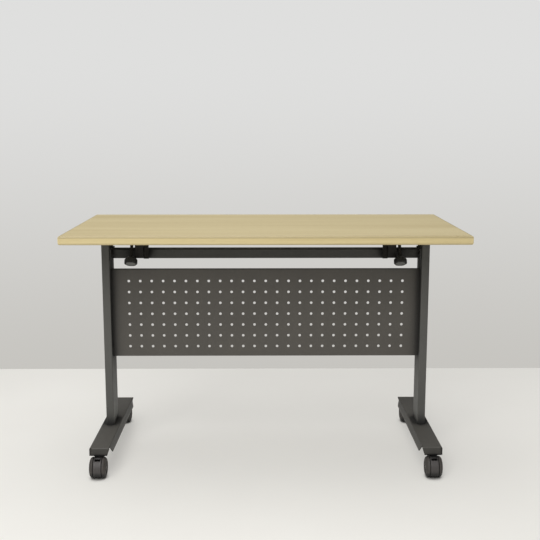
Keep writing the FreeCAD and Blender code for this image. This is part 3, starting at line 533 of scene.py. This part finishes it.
def lid_grid():
    """The swivel's round lid: a flat disc with a quarter-round rim and a shallow ring groove near it."""
    cosine, sine = arc(0, 90, 6)
    groove_r = LID_RADIUS - np.array([0.0035, 0.0040, 0.0050, 0.0055])
    groove_z = LID_TO - LID_GROOVE * np.array([0.0, 1.0, 1.0, 0.0])
    radius = np.concatenate([[0.0, LID_RADIUS], LID_RADIUS - LID_EDGE * (1 - cosine), groove_r, [0.0]])
    height = np.concatenate([[LID_FROM, LID_FROM], LID_TO - LID_EDGE * (1 - sine), groove_z, [LID_TO]])
    return turned(radius, height, LID_SIDES)


WHEEL_RADIUS = 0.032
WHEEL_NEAR = 0.014       # the faces' distances from the middle of the pair
WHEEL_FAR = 0.025
WHEEL_BORE = 0.0041
WHEEL_TREAD = 0.010      # the radius of the tread's rounding
WHEEL_SIDES = 72
# Each row is a radius with the depth behind the far face, or for the back the distance from the near face.
HUB = np.array([(0.0008, 0.0041), (0.0002, 0.0046), (0.0, 0.0056), (0.0002, 0.0086), (0.0012, 0.0100),
                (0.0024, 0.0108)])
DISH = np.linspace((0.0025, 0.0114), (0.0025, 0.0182), 7)
RIM = np.array([(0.0018, 0.0192), (0.0004, 0.0204), (0.0, 0.0210), (0.0, 0.0220)])
BACK = np.array([(0.0006, 0.0320), (0.0003, 0.0319), (0.0001, 0.0317), (0.0, 0.0314), (0.0, WHEEL_BORE)])
SPOKES = 6
SPOKE_RISE = 0.0016


def wheel_grid():
    """A wheel turned about X: rows of (x, radius) from the bore over hub, dish, rim and tread and back in.

    Six spokes stand out of the dish: x grows by a clipped wave of cos 6a, faded towards hub and rim."""
    turn = full_turn(WHEEL_SIDES)
    cosine, sine = arc(0, 90, 9)
    face = np.concatenate([HUB, DISH, RIM])
    x = np.concatenate([[WHEEL_NEAR], WHEEL_FAR - face[:, 0], WHEEL_FAR - WHEEL_TREAD * (1 - cosine),
                        WHEEL_NEAR + BACK[:, 0]])
    radius = np.concatenate([[WHEEL_BORE], face[:, 1], WHEEL_RADIUS - WHEEL_TREAD * (1 - sine), BACK[:, 1]])
    spoke_rows = len(DISH) + 2
    fade = np.zeros(len(x))
    fade[len(HUB):len(HUB) + spoke_rows] = np.sin(np.linspace(0.0, math.pi, spoke_rows)) ** 0.5
    spoke = np.clip(np.cos(SPOKES * turn) * 1.8 - 0.6, 0.0, 1.0)
    across = x[:, None] + SPOKE_RISE * fade[:, None] * spoke
    return np.stack([across, radius[:, None] * np.cos(turn), radius[:, None] * np.sin(turn)], axis=-1)


PEDAL_HALF = 0.009
PEDAL_RADIUS = 0.032
PEDAL_INNER = 0.0267
PEDAL_FROM = 84.3        # degrees about the axle
PEDAL_TO = 112.7
PEDAL_ENDS = 0.05        # the share of the tongue's length that draws in at each end
END_WIDTH = 0.9          # what is left there of its width and thickness
END_DEPTH = 0.6
GRIP_FROM = 104.0
GRIP_RAMP = 3.0
GRIP_RISE = 0.0017
RIB_PITCH = 3.0
RIB_RISE = 0.00025
TRUNNION_TURN = math.radians(89)
TRUNNION_ARM = 0.02895
TRUNNION_HALF = 0.012
TRUNNION_RADIUS = 0.002
BAR_SIDES = 40
SQUARE = 7.0             # the power of a bar's section: 2 is round, more is squarer
ROUND = 2.0


def bar_grid(middle, across, upward, half_width, half_height, power):
    """Carries a soft rectangle along a path: each row is middle + across w c^(2/n) + upward h s^(2/n), for
    the cosines c and sines s of a whole turn and the power n. A row of no size closes each end."""
    turn = full_turn(BAR_SIDES)
    cosine = np.sign(np.cos(turn)) * np.abs(np.cos(turn)) ** (2 / power)
    sine = np.sign(np.sin(turn)) * np.abs(np.sin(turn)) ** (2 / power)
    wide = half_width[:, None, None] * across[:, None, :] * cosine[:, None]
    tall = half_height[:, None, None] * upward[:, None, :] * sine[:, None]
    rows = middle[:, None, :] + wide + tall
    first = np.broadcast_to(middle[:1, None, :], (1, BAR_SIDES, 3))
    last = np.broadcast_to(middle[-1:, None, :], (1, BAR_SIDES, 3))
    return np.concatenate([first, rows, last])


def bar_along_x(x, y, z, half_width, half_height, power):
    """A straight bar along X, its width along Y and its height along Z."""
    middle = np.stack(np.broadcast_arrays(x, y, z), axis=-1)
    across = np.broadcast_to((0.0, 1.0, 0.0), middle.shape)
    upward = np.broadcast_to((0.0, 0.0, 1.0), middle.shape)
    return bar_grid(middle, across, upward, np.broadcast_to(half_width, x.shape),
                    np.broadcast_to(half_height, x.shape), power)


def pedal_grids():
    """A tongue that follows the hood's arc, with a raised and ribbed grip at its free end, and a cross pin.

    Its outer radius is R plus a soft step up to the grip and a ripple on it; its inner radius stays.
    Towards both ends the section draws in along a quarter round."""
    degrees = np.linspace(PEDAL_FROM, PEDAL_TO, 64)
    turn = np.radians(degrees)
    ramp = np.clip((degrees - GRIP_FROM) / GRIP_RAMP, 0.0, 1.0)
    grip = ramp * ramp * (3 - 2 * ramp)
    ribs = RIB_RISE * grip * np.cos((degrees - GRIP_FROM - GRIP_RAMP) * 2 * math.pi / RIB_PITCH)
    outer = PEDAL_RADIUS + GRIP_RISE * grip + ribs
    share = np.linspace(0.0, 1.0, len(degrees))
    ends = np.clip(np.minimum(share, 1 - share) / PEDAL_ENDS, 0.0, 1.0)
    soft = np.sqrt(1 - (1 - ends) ** 2)
    half_width = PEDAL_HALF * (END_WIDTH + (1 - END_WIDTH) * soft)
    half_height = (outer - PEDAL_INNER) / 2 * (END_DEPTH + (1 - END_DEPTH) * soft)
    upward = np.stack([0 * turn, np.cos(turn), np.sin(turn)], axis=-1)
    middle = upward * ((outer + PEDAL_INNER) / 2)[:, None] + (0.0, -TRAIL, AXLE_Z)
    across = np.broadcast_to((1.0, 0.0, 0.0), middle.shape)
    tongue = bar_grid(middle, across, upward, half_width, half_height, SQUARE)
    trunnion = bar_along_x(np.linspace(-TRUNNION_HALF, TRUNNION_HALF, 8),
                           TRUNNION_ARM * math.cos(TRUNNION_TURN) - TRAIL,
                           TRUNNION_ARM * math.sin(TRUNNION_TURN) + AXLE_Z,
                           TRUNNION_RADIUS, TRUNNION_RADIUS, ROUND)
    return [tongue, trunnion]


def wheel_rubber(name):
    """A dark soft tread: blooming grey patches, fine scuffs round the rim, and painted shade that darkens
    the corners and what lies close to the floor."""
    finish = Finish(name)
    spot = finish.spot()
    grain = finish.noise(spot, 1300.0, detail=1.0)
    bloom = finish.noise(spot, 45.0, detail=5.0)
    streaks = finish.noise(finish.spot((300.0, 90.0, 90.0)), 1.0, detail=3.0)
    scuff = finish.step(streaks, low=0.56, high=0.72)
    # Painted shade: corners and the tread close to the floor are darkened as if shaded.
    painted_shade = finish.step(finish.hollow(reach=0.04), low=0.14, high=0.50)
    tone = finish.blend(bloom, paint(52, 49, 46), paint(72, 67, 63))
    tone = finish.blend(scuff * 0.22, tone, paint(84, 78, 70))
    tone = finish.blend(painted_shade * 0.94, tone, painted_shade_tone)
    finish.coat(Base_Color=tone, Roughness=0.55 + 0.15 * grain + 0.10 * scuff,
                Normal=finish.bump(grain, 0.0001))
    return finish


hood_nylon = moulded("castor_nylon", paint(56, 53, 52), paint(74, 70, 68), shine=0.50, grain=1600.0,
                     painted_shade=0.9)
pedal_plastic = moulded("pedal_plastic", paint(26, 25, 24), paint(38, 36, 35), shine=0.40, grain=2000.0)
tread_rubber = wheel_rubber("soft_tread")
hood_parts = [hood_grid(), lid_grid()]
pedal_parts = pedal_grids()
wheel = wheel_grid()
joint_spots = {joint["name"]: joint["pos_m"] for joint in frame["record"]["behaviour"]["joints"]}
for end_name, way in (("front", 1), ("rear", -1)):
    for side_name, _ in SIDES:
        corner = f"{end_name}_{side_name}"
        swivel_x, swivel_y, _ = joint_spots[f"{corner}_swivel"]
        swivel = np.array([swivel_x, swivel_y, 0.0])
        turned_round = np.array([way, way, 1.0])
        hood = make_piece(f"{corner}_moulded_hood", hood_nylon,
                          [part * turned_round + swivel for part in hood_parts])
        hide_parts(f"{corner}_castor_hood")
        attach(hood, f"{corner}_castor")

        centre = np.array(joint_spots[f"{corner}_roll"])
        wheels = make_piece(f"{corner}_twin_wheels", tread_rubber,
                            [wheel + centre, wheel * (-1, 1, 1) + centre], sharp=38)
        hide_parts(f"{corner}_wheels")
        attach(wheels, f"{corner}_wheel_set")

        pedal = make_piece(f"{corner}_moulded_pedal", pedal_plastic,
                           [part * turned_round + swivel for part in pedal_parts])
        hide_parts(f"{corner}_brake_pedal")
        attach(pedal, f"{corner}_brake")
        zinc.dress(f"{corner}_axle")


# Cross beam
# A 40 x 30 mm steel tube between the columns, with a drilled plate welded on each end.
# Two bolts through each plate hold it to the column's inner wall. It is coated like the frame, but darker:
# painted shade under the top.

BEAM_CORNER = 0.003
BEAD_RADIUS = 0.0022
BEAD_PITCH = 0.0035
BEAD_RIPPLE = 0.10       # the ripple's share of the bead's radius
BEAD_SIDES = 10
BEAM_BOLT_LENGTH = 0.015

# The beam's coat is the frame's, made darker: a painted shade, as it lies under the top.
shaded_beam_coat = powder_coat("shaded_beam_powder_coat", paint(50, 50, 47), paint(64, 63, 60), COAT_EDGE)
shaded_beam_coat.dress("flip_beam", "left_beam_plate", "right_beam_plate")


def bead_grid(path, outward):
    """A weld bead: a circle carried along a closed path, whose radius ripples about once per pitch.

    The ripples fit the path a whole number of times, so that its ends meet."""
    run = np.concatenate([[0.0], np.cumsum(np.linalg.norm(np.diff(path, axis=0), axis=1))])
    ripples = round(run[-1] / BEAD_PITCH)
    swell = BEAD_RADIUS * (1 + BEAD_RIPPLE * np.sin(2 * math.pi * ripples * run / run[-1]))
    turn = full_turn(BEAD_SIDES)[:, None]
    along_x = np.array([1.0, 0.0, 0.0])
    ring = outward[:, None, :] * np.cos(turn) + along_x * np.sin(turn)
    return path[:, None, :] + swell[:, None, None] * ring


def beam_loop(low, high, x):
    """Points round a rounded rectangle at one X, with the direction outwards at each."""
    middle = np.array([(low.y + high.y) / 2, (low.z + high.z) / 2])
    half = np.array([(high.y - low.y) / 2, (high.z - low.z) / 2]) - BEAM_CORNER
    turn = np.linspace(0.0, 2 * math.pi, 160)
    outward = np.stack([np.cos(turn), np.sin(turn)], axis=-1)
    spread = middle + np.clip(outward * 4, -1, 1) * half + BEAM_CORNER * outward
    return (np.stack([0 * turn + x, spread[:, 0], spread[:, 1]], axis=-1),
            np.stack([0 * turn, outward[:, 0], outward[:, 1]], axis=-1))


low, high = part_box("flip_beam")
weld = make_piece("beam_end_welds", shaded_beam_coat,
                  [bead_grid(*beam_loop(low, high, x)) for x in (low.x, high.x)])
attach(weld, "frame")


def blackened(name):
    """Bolt steel with a black oxide: brown-black patches, worn a little brighter in spots."""
    finish = Finish(name)
    spot = finish.spot()
    oxide = finish.noise(spot, 180.0, detail=4.0)
    worn = finish.step(finish.noise(spot, 420.0, detail=3.0), low=0.6, high=0.75)
    tone = finish.blend(oxide, paint(26, 25, 24), paint(44, 41, 38))
    finish.coat(Base_Color=finish.blend(worn * 0.4, tone, paint(96, 94, 90)), Metallic=0.6,
                Roughness=0.44 + 0.16 * oxide, Normal=finish.bump(oxide, 0.00005))
    return finish


def laid_along_x(points, side):
    """Turns a fastener whose shank runs up so that the shank runs outwards along X."""
    return np.stack([side * points[..., 2], points[..., 1], -side * points[..., 0]], axis=-1)


black_steel = blackened("black_oxide")
low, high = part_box("beam_bolts")
bolt_y = (high.y - low.y) / 2 - BOLT_HEAD / 2
bolt_z = (high.z + low.z) / 2
plate_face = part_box("right_beam_plate")[0].x
beam_bolt = hex_bolt(BEAM_BOLT_LENGTH)
bolts = make_piece("beam_bolt_set", black_steel,
                   [laid_along_x(beam_bolt, side) + (side * plate_face, end * bolt_y, bolt_z)
                    for _, side in SIDES for end in ENDS])
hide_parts("beam_bolts")
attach(bolts, "frame")


# Modesty panel
# A 1.2 mm steel sheet with rows of punched holes, stiffened by 2 mm strips welded behind its four edges
# and coated with them. Four pan-head screws with cross recesses fix the end strips to the columns.

SCREW_HEAD = 0.008
SCREW_RISE = 0.0025
SCREW_SHANK = 0.004
CROSS_REACH = 0.0021
CROSS_WIDTH = 0.0012
CROSS_DEPTH = 0.0016
PANEL_SCREW_LENGTH = 0.012

panel_coat = powder_coat("panel_powder_coat", paint(68, 65, 60), paint(84, 80, 74), COAT_EDGE)
panel_coat.dress("modesty_panel", "panel_rails", "left_panel_flange", "right_panel_flange")


def cross_slot(turn, reach, width):
    """The distance from the middle of a plus sign to its outline in each direction."""
    cosine = np.abs(np.cos(turn))
    sine = np.abs(np.sin(turn))
    to_end = reach / np.maximum(cosine, sine)
    to_side = width / 2 / np.maximum(np.minimum(cosine, sine), 1e-6)
    return np.minimum(to_end, to_side)


def cross_screw(length):
    """A pan-head screw with a cross recess."""
    recess = cross_slot(full_turn(HEAD_SIDES), CROSS_REACH, CROSS_WIDTH)
    return button_fastener(SCREW_HEAD, SCREW_RISE, SCREW_SHANK, length, recess, CROSS_DEPTH)


low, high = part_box("panel_screws")
screw_y = (low.y + high.y) / 2
screw_z = (low.z + SCREW_HEAD / 2, high.z - SCREW_HEAD / 2)
strip_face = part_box("right_panel_flange")[0].x
panel_screw = cross_screw(PANEL_SCREW_LENGTH)
screws = make_piece("panel_screw_set", zinc,
                    [laid_along_x(panel_screw, side) + (side * strip_face, screw_y, z)
                     for _, side in SIDES for z in screw_z])
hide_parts("panel_screws")
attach(screws, "frame")


# Hinges
# Forked brackets of steel plate are welded on the beam, and a headed pin in each carries the top.
# Beside them a rubber block on the beam takes the top's weight when it is level.

PAD_HALF = 0.015
PAD_ROWS = 31
PAD_ROUND = 0.1          # the share of the block's half length that is rounded
PAD_DRAW = 0.6           # how much of the section's square goes at its ends
GROOVE_WAVE = 21.0       # the angle of the grooves' wave between the block's middle and its end
GROOVE_CREST = 0.8       # a groove lies where the wave's cosine is above this
GROOVE_DEPTH = 0.05      # the share of the height that it takes

grey_coat.dress("left_pivot_bracket", "right_pivot_bracket")
zinc.dress("left_pivot_pin", "right_pivot_pin")


def rubber(name):
    """Black rubber: matt, a fine moulded grain and a pale bloom in patches."""
    finish = Finish(name)
    spot = finish.spot()
    grain = finish.noise(spot, 1500.0, detail=1.0)
    bloom = finish.step(finish.noise(spot, 90.0, detail=4.0), low=0.4, high=0.75)
    finish.coat(Base_Color=finish.blend(bloom, paint(24, 24, 24), paint(46, 45, 44)),
                Roughness=0.72 + 0.12 * grain, Normal=finish.bump(grain, 0.00012))
    return finish


def pad_grid(low, high, side):
    """A block along X, drawn in towards both ends by a round and lower in narrow grooves across it."""
    share = np.linspace(-1.0, 1.0, PAD_ROWS)
    past = np.clip((np.abs(share) - 1 + PAD_ROUND) / PAD_ROUND, 0.0, 1.0)
    ends = np.sqrt(1 - PAD_DRAW * past ** 2)
    grooves = 1 - GROOVE_DEPTH * (np.cos(GROOVE_WAVE * share) > GROOVE_CREST)
    x = side * (high.x - PAD_HALF) + PAD_HALF * share
    return bar_along_x(x, (low.y + high.y) / 2, (low.z + high.z) / 2,
                       (high.y - low.y) / 2 * ends, (high.z - low.z) / 2 * ends * grooves, SQUARE)


low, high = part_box("rest_pads")
rests = make_piece("rest_pad_pair", rubber("rest_rubber"), [pad_grid(low, high, side) for _, side in SIDES])
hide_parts("rest_pads")
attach(rests, "frame")


# Top
# A 25 mm chipboard core with an oak-print laminate above, a plain backing laminate below and a rounded
# band, mitred at the corners, glued round all four sides. The grain runs along the table and each band.

ALONG_X = 0
ALONG_Y = 1
TABLE_Z = cad_high.z
UPPER_FROM = TABLE_Z - 0.0105    # the heights between which painted shade darkens the bands' upper rounding
UPPER_TO = TABLE_Z - 0.0035
LOWER_FROM = TABLE_Z - 0.0185    # and the lower one
LOWER_TO = TABLE_Z - 0.0255


def oak_print(name, along, pale, deep, pore_tone, rim_shade_tone=None):
    """Printed oak: slow bands, fine streaks and short dark pores, all stretched along one axis.

    With a rim shade tone, the print is darkened towards it as painted shade: on the upper rounding,
    against the light that catches it, and less on the lower one."""
    finish = Finish(name)

    def stretched(lengthwise, crosswise):
        """The place on the piece, multiplied by one number along the grain and by another across it."""
        scales = [crosswise, crosswise, crosswise]
        scales[along] = lengthwise
        return finish.spot(scales)

    bands = finish.noise(stretched(0.7, 13.0), 1.0, detail=3.0)
    streaks = finish.noise(stretched(1.6, 150.0), 1.0, detail=5.0)
    threads = finish.noise(stretched(7.0, 700.0), 1.0, detail=2.0)
    pores = finish.step(finish.noise(stretched(36.0, 1100.0), 1.0, detail=1.0), low=0.62, high=0.74)
    figure = finish.step(0.45 * bands + 0.40 * streaks + 0.15 * threads, low=0.34, high=0.66)
    tone = finish.blend(figure, deep, pale)
    tone = finish.blend(pores * 0.35, tone, pore_tone)
    # Painted shade on the bands' roundings: darker on the upper one, against the light it catches, and less
    # on the lower.
    if rim_shade_tone:
        height = finish.height()
        upper_shade = finish.step(height, UPPER_FROM, UPPER_TO)
        lower_shade = 1 - finish.step(height, LOWER_TO, LOWER_FROM)
        tone = finish.blend(upper_shade * 0.9 + lower_shade * 0.4, tone, rim_shade_tone)
    finish.coat(Base_Color=tone, Roughness=0.40 + 0.10 * streaks + 0.08 * pores,
                Normal=finish.bump(1 - pores, 0.00005))
    return finish


top_tones = (paint(200, 186, 146), paint(182, 166, 124), paint(150, 130, 90))
# The fourth band tone is the painted shade on the roundings.
band_tones = (paint(212, 195, 147), paint(196, 178, 129), paint(156, 136, 94), paint(162, 148, 110))
oak_print("oak_laminate", ALONG_X, *top_tones).dress("top_laminate")
oak_print("oak_band_along", ALONG_X, *band_tones).dress("front_edge_band", "rear_edge_band")
oak_print("oak_band_across", ALONG_Y, *band_tones).dress("left_edge_band", "right_edge_band")


def backing_paper(name):
    """Plain melamine backing: off-white grey with faint paper cloud and pinholes."""
    finish = Finish(name)
    spot = finish.spot()
    cloud = finish.noise(spot, 22.0, detail=5.0)
    pins = finish.step(finish.noise(spot, 500.0, detail=1.0), low=0.68, high=0.76)
    tone = finish.blend(cloud, paint(186, 180, 166), paint(204, 199, 187))
    finish.coat(Base_Color=finish.blend(pins * 0.3, tone, paint(150, 142, 126)),
                Roughness=0.56 + 0.12 * cloud, Normal=finish.bump(cloud, 0.0001))
    return finish


def pressed_chips(name):
    """Chipboard: flat wood flakes of mixed tone, lying mostly level, with dark glue between."""
    finish = Finish(name)
    flakes = finish.node("ShaderNodeTexVoronoi", {},
                         {"Vector": finish.spot((160.0, 160.0, 620.0)), "Scale": 1.0}, "Color")
    mixed = finish.node("ShaderNodeSeparateColor", {}, {0: flakes}, "Red")
    glue = finish.noise(finish.spot(), 260.0, detail=4.0)
    between = finish.step(glue, low=0.5, high=0.7)
    tone = finish.blend(mixed, paint(150, 116, 76), paint(206, 176, 130))
    finish.coat(Base_Color=finish.blend(between * 0.4, tone, paint(104, 78, 50)),
                Roughness=0.80 + 0.10 * glue, Normal=finish.bump(glue, 0.0004))
    return finish


backing_paper("plain_backing").dress("backing_laminate")
pressed_chips("pressed_chips").dress("top_core")


# Top brackets
# Each is a folded steel bracket: a plate screwed under the top, two cheeks astride the beam on the hinge
# pin, and an apron in front that carries the latch's shaft. Pan-head screws go up into the core.

BRACKET_SCREW_LENGTH = 0.018

black_steel.dress("left_top_bracket", "right_top_bracket")
low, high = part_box("bracket_screws")
plate_low, plate_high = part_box("right_top_bracket")
seat_z = low.z + SCREW_RISE
screw_y = high.y - SCREW_HEAD / 2
outer_x = high.x - SCREW_HEAD / 2
screw_x = (outer_x, plate_low.x + plate_high.x - outer_x)
bracket_screw = cross_screw(BRACKET_SCREW_LENGTH)
screws = make_piece("bracket_screw_set", zinc,
                    [bracket_screw + (side * x, end * screw_y, seat_z)
                     for _, side in SIDES for x in screw_x for end in ENDS])
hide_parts("bracket_screws")
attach(screws, "flip_top")


# Release latches
# A steel shaft across each top bracket has a hook at its inner end, which catches under a keeper welded on
# the beam, and at its outer end a lever with a six-lobed black knob moulded on it. A grey disc closes it,
# its pale tone a painted highlight on the knob's face.

KNOB_FACE = 0.079        # distances from the shaft
KNOB_NECK = 0.057
KNOB_LENGTH = KNOB_FACE - KNOB_NECK
KNOB_RIM = 0.013
KNOB_EDGE = 0.003
KNOB_RADIUS = 0.0205
KNOB_SIDES = 144
NECK_RADIUS = 0.012
NECK_POWER = 1.6
FLUTE_RADIUS = 0.008
FLUTE_CENTRE = 0.0255
FLUTE_SOFT = 0.0006
OPEN_RADIUS = 0.030      # beyond the knob, where no flute is
DISC_RADIUS = 0.0150
DISC_GAP = 0.0002
DISC_SINK = 0.0020
DISC_CROWN = 0.0004
DISC_SIDES = 64
LEVER_TILT = math.radians(-30)

grey_coat.dress("latch_keepers")
black_steel.dress("left_latch_hook", "right_latch_hook", "left_latch_lever", "right_latch_lever")
zinc.dress("left_latch_shaft", "right_latch_shaft")


def knob_grid():
    """A turned knob with six scooped flutes, its face towards -Z.

    The profile's radius and the flute's, r = D cos d - sqrt(f^2 - D^2 sin^2 d), meet in a soft minimum."""
    cosine, sine = arc(-90, 0, 8)
    seat_r = DISC_RADIUS + DISC_GAP
    waist = np.linspace(0.0, 1.0, 12)[1:]
    radius = np.concatenate([[0.0, seat_r, seat_r], KNOB_RADIUS - KNOB_EDGE * (1 - cosine), [KNOB_RADIUS],
                             KNOB_RADIUS - (KNOB_RADIUS - NECK_RADIUS) * waist ** NECK_POWER, [0.0]])
    height = np.concatenate([[DISC_SINK, DISC_SINK, 0.0], KNOB_EDGE * (1 + sine), [KNOB_RIM],
                             KNOB_RIM + (KNOB_LENGTH - KNOB_RIM) * waist, [KNOB_LENGTH]])
    apart = (full_turn(KNOB_SIDES) - math.pi / 2 + math.pi / 6) % (math.pi / 3) - math.pi / 6
    under = FLUTE_RADIUS ** 2 - (FLUTE_CENTRE * np.sin(apart)) ** 2
    scoop = FLUTE_CENTRE * np.cos(apart) - np.sqrt(np.maximum(under, 0.0))
    body, flute = np.broadcast_arrays(radius[:, None], np.where(under > 0, scoop, OPEN_RADIUS))
    rounded = -FLUTE_SOFT * np.log(np.exp(-body / FLUTE_SOFT) + np.exp(-flute / FLUTE_SOFT))
    rows = np.where(body > NECK_RADIUS, np.minimum(rounded, body), body)
    return ring_points(rows, height[:, None] - KNOB_FACE)


def disc_grid():
    """A slightly domed disc pressed into the knob's face: rings from its middle to its rim and behind."""
    share = np.linspace(0.0, 1.0, 8)
    radius = np.concatenate([DISC_RADIUS * share, [DISC_RADIUS, 0.0]])
    height = np.concatenate([DISC_CROWN * share ** 2, [DISC_SINK, DISC_SINK]])
    return turned(radius, height - KNOB_FACE, DISC_SIDES)


def hung_from(points, spot):
    """Turns points that hang below the origin by the lever's tilt t, and sets them at a spot:
    y becomes y cos t - z sin t, and z becomes y sin t + z cos t."""
    x, y, z = np.moveaxis(points, -1, 0)
    cosine = math.cos(LEVER_TILT)
    sine = math.sin(LEVER_TILT)
    return np.stack([x, y * cosine - z * sine, y * sine + z * cosine], axis=-1) + spot


# The disc's pale grey is a painted highlight: it stands in for the light on the knob's face.
highlight_grey_disc = moulded("highlight_grey_disc", paint(104, 104, 102), paint(126, 126, 123), shine=0.34, grain=2400.0)
for side_name, side in SIDES:
    low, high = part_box(f"{side_name}_latch_knob")
    _, shaft_y, shaft_z = joint_spots[f"{side_name}_latch_turn"]
    shaft_spot = ((low.x + high.x) / 2, shaft_y, shaft_z)
    knob = make_piece(f"{side_name}_lobed_knob", black_plastic, [hung_from(knob_grid(), shaft_spot)],
                      sharp=50)
    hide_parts(f"{side_name}_latch_knob")
    disc = make_piece(f"{side_name}_knob_disc", highlight_grey_disc, [hung_from(disc_grid(), shaft_spot)])
    for piece in (knob, disc):
        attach(piece, f"{side_name}_latch")


# Floor, light and camera
# A plain pale floor ends behind the table at a pale ground, which brightens upwards and adds a dim fill.
# A wide soft light stands in front, high and to the left, and another hangs overhead. The floor glows a
# little, so that shadows on it stay faint, but close under the castors a shadow is painted into its glow.

FLOOR_HALF = 5.0
FLOOR_BACK = 0.95
FLOOR_GLOW = 0.41
FILL = 0.22

floor_mesh = bpy.data.meshes.new("studio_floor")
floor_mesh.from_pydata([(-FLOOR_HALF, -FLOOR_HALF, 0), (FLOOR_HALF, -FLOOR_HALF, 0),
                        (FLOOR_HALF, FLOOR_BACK, 0), (-FLOOR_HALF, FLOOR_BACK, 0)], [], [(0, 1, 2, 3)])
floor_paint = Finish("floor_paint")
patches = floor_paint.noise(floor_paint.spot(), 3.0, detail=4.0)
# Painted shadow: close under the castors the floor's glow is darkened.
painted_contact_shadow = floor_paint.step(floor_paint.hollow(reach=0.03), low=0.28, high=0.72)
floor_paint.coat(Base_Color=floor_paint.blend(patches, paint(172, 170, 165), paint(178, 177, 172)),
                 Roughness=0.62 + 0.08 * patches, Emission_Strength=FLOOR_GLOW,
                 Emission_Color=floor_paint.blend(painted_contact_shadow, paint(255, 253, 248), paint(20, 19, 18)))
floor_mesh.materials.append(floor_paint.material)
floor = bpy.data.objects.new("studio_floor", floor_mesh)
bpy.context.scene.collection.objects.link(floor)

ground = Finish("studio_ground", bpy.data.worlds, "BACKGROUND")
seen = ground.node("ShaderNodeLightPath", {}, {}, "Is Camera Ray")
direction = ground.node("ShaderNodeTexCoord", {}, {}, "Generated")
rise = ground.node("ShaderNodeSeparateXYZ", {}, {0: direction}, "Z")
brighter = ground.step(rise, low=-0.32, high=0.08)
ground.coat(Color=ground.blend(brighter, paint(197, 195, 190), paint(223, 223, 222)),
            Strength=FILL + (1 - FILL) * seen)
bpy.context.scene.world = ground.material


def soft_light(name, spot, aim, size, power):
    """A square lamp at one spot that looks at another."""
    lamp = bpy.data.lights.new(name, "AREA")
    lamp.size = size
    lamp.energy = power
    holder = bpy.data.objects.new(name, lamp)
    holder.location = spot
    holder.rotation_euler = (aim - holder.location).to_track_quat("-Z", "Y").to_euler()
    bpy.context.scene.collection.objects.link(holder)


table_middle = (cad_low + cad_high) / 2
soft_light("front_soft_light", spot=(-0.9, -3.2, 2.9), aim=table_middle, size=2.6, power=118.0)
soft_light("overhead_soft_light", spot=(-0.3, 0.2, 3.4), aim=table_middle, size=3.0, power=74.0)

CAMERA_LENS = 59.255     # millimetres on a sensor 36 mm wide
CAMERA_SENSOR = 36.0
CAMERA_SPOT = (-0.00626, -2.84056, 1.07882)
CAMERA_PITCH = 9.564     # degrees down from level
CAMERA_YAW = 0.404       # degrees to the right
lens = bpy.data.cameras.new("photo_camera")
lens.lens = CAMERA_LENS
lens.sensor_width = CAMERA_SENSOR
camera = bpy.data.objects.new("photo_camera", lens)
camera.location = CAMERA_SPOT
camera.rotation_euler = (math.radians(90 - CAMERA_PITCH), 0.0, math.radians(-CAMERA_YAW))
bpy.context.scene.collection.objects.link(camera)
bpy.context.scene.camera = camera
bpy.context.scene.view_settings.view_transform = "Standard"
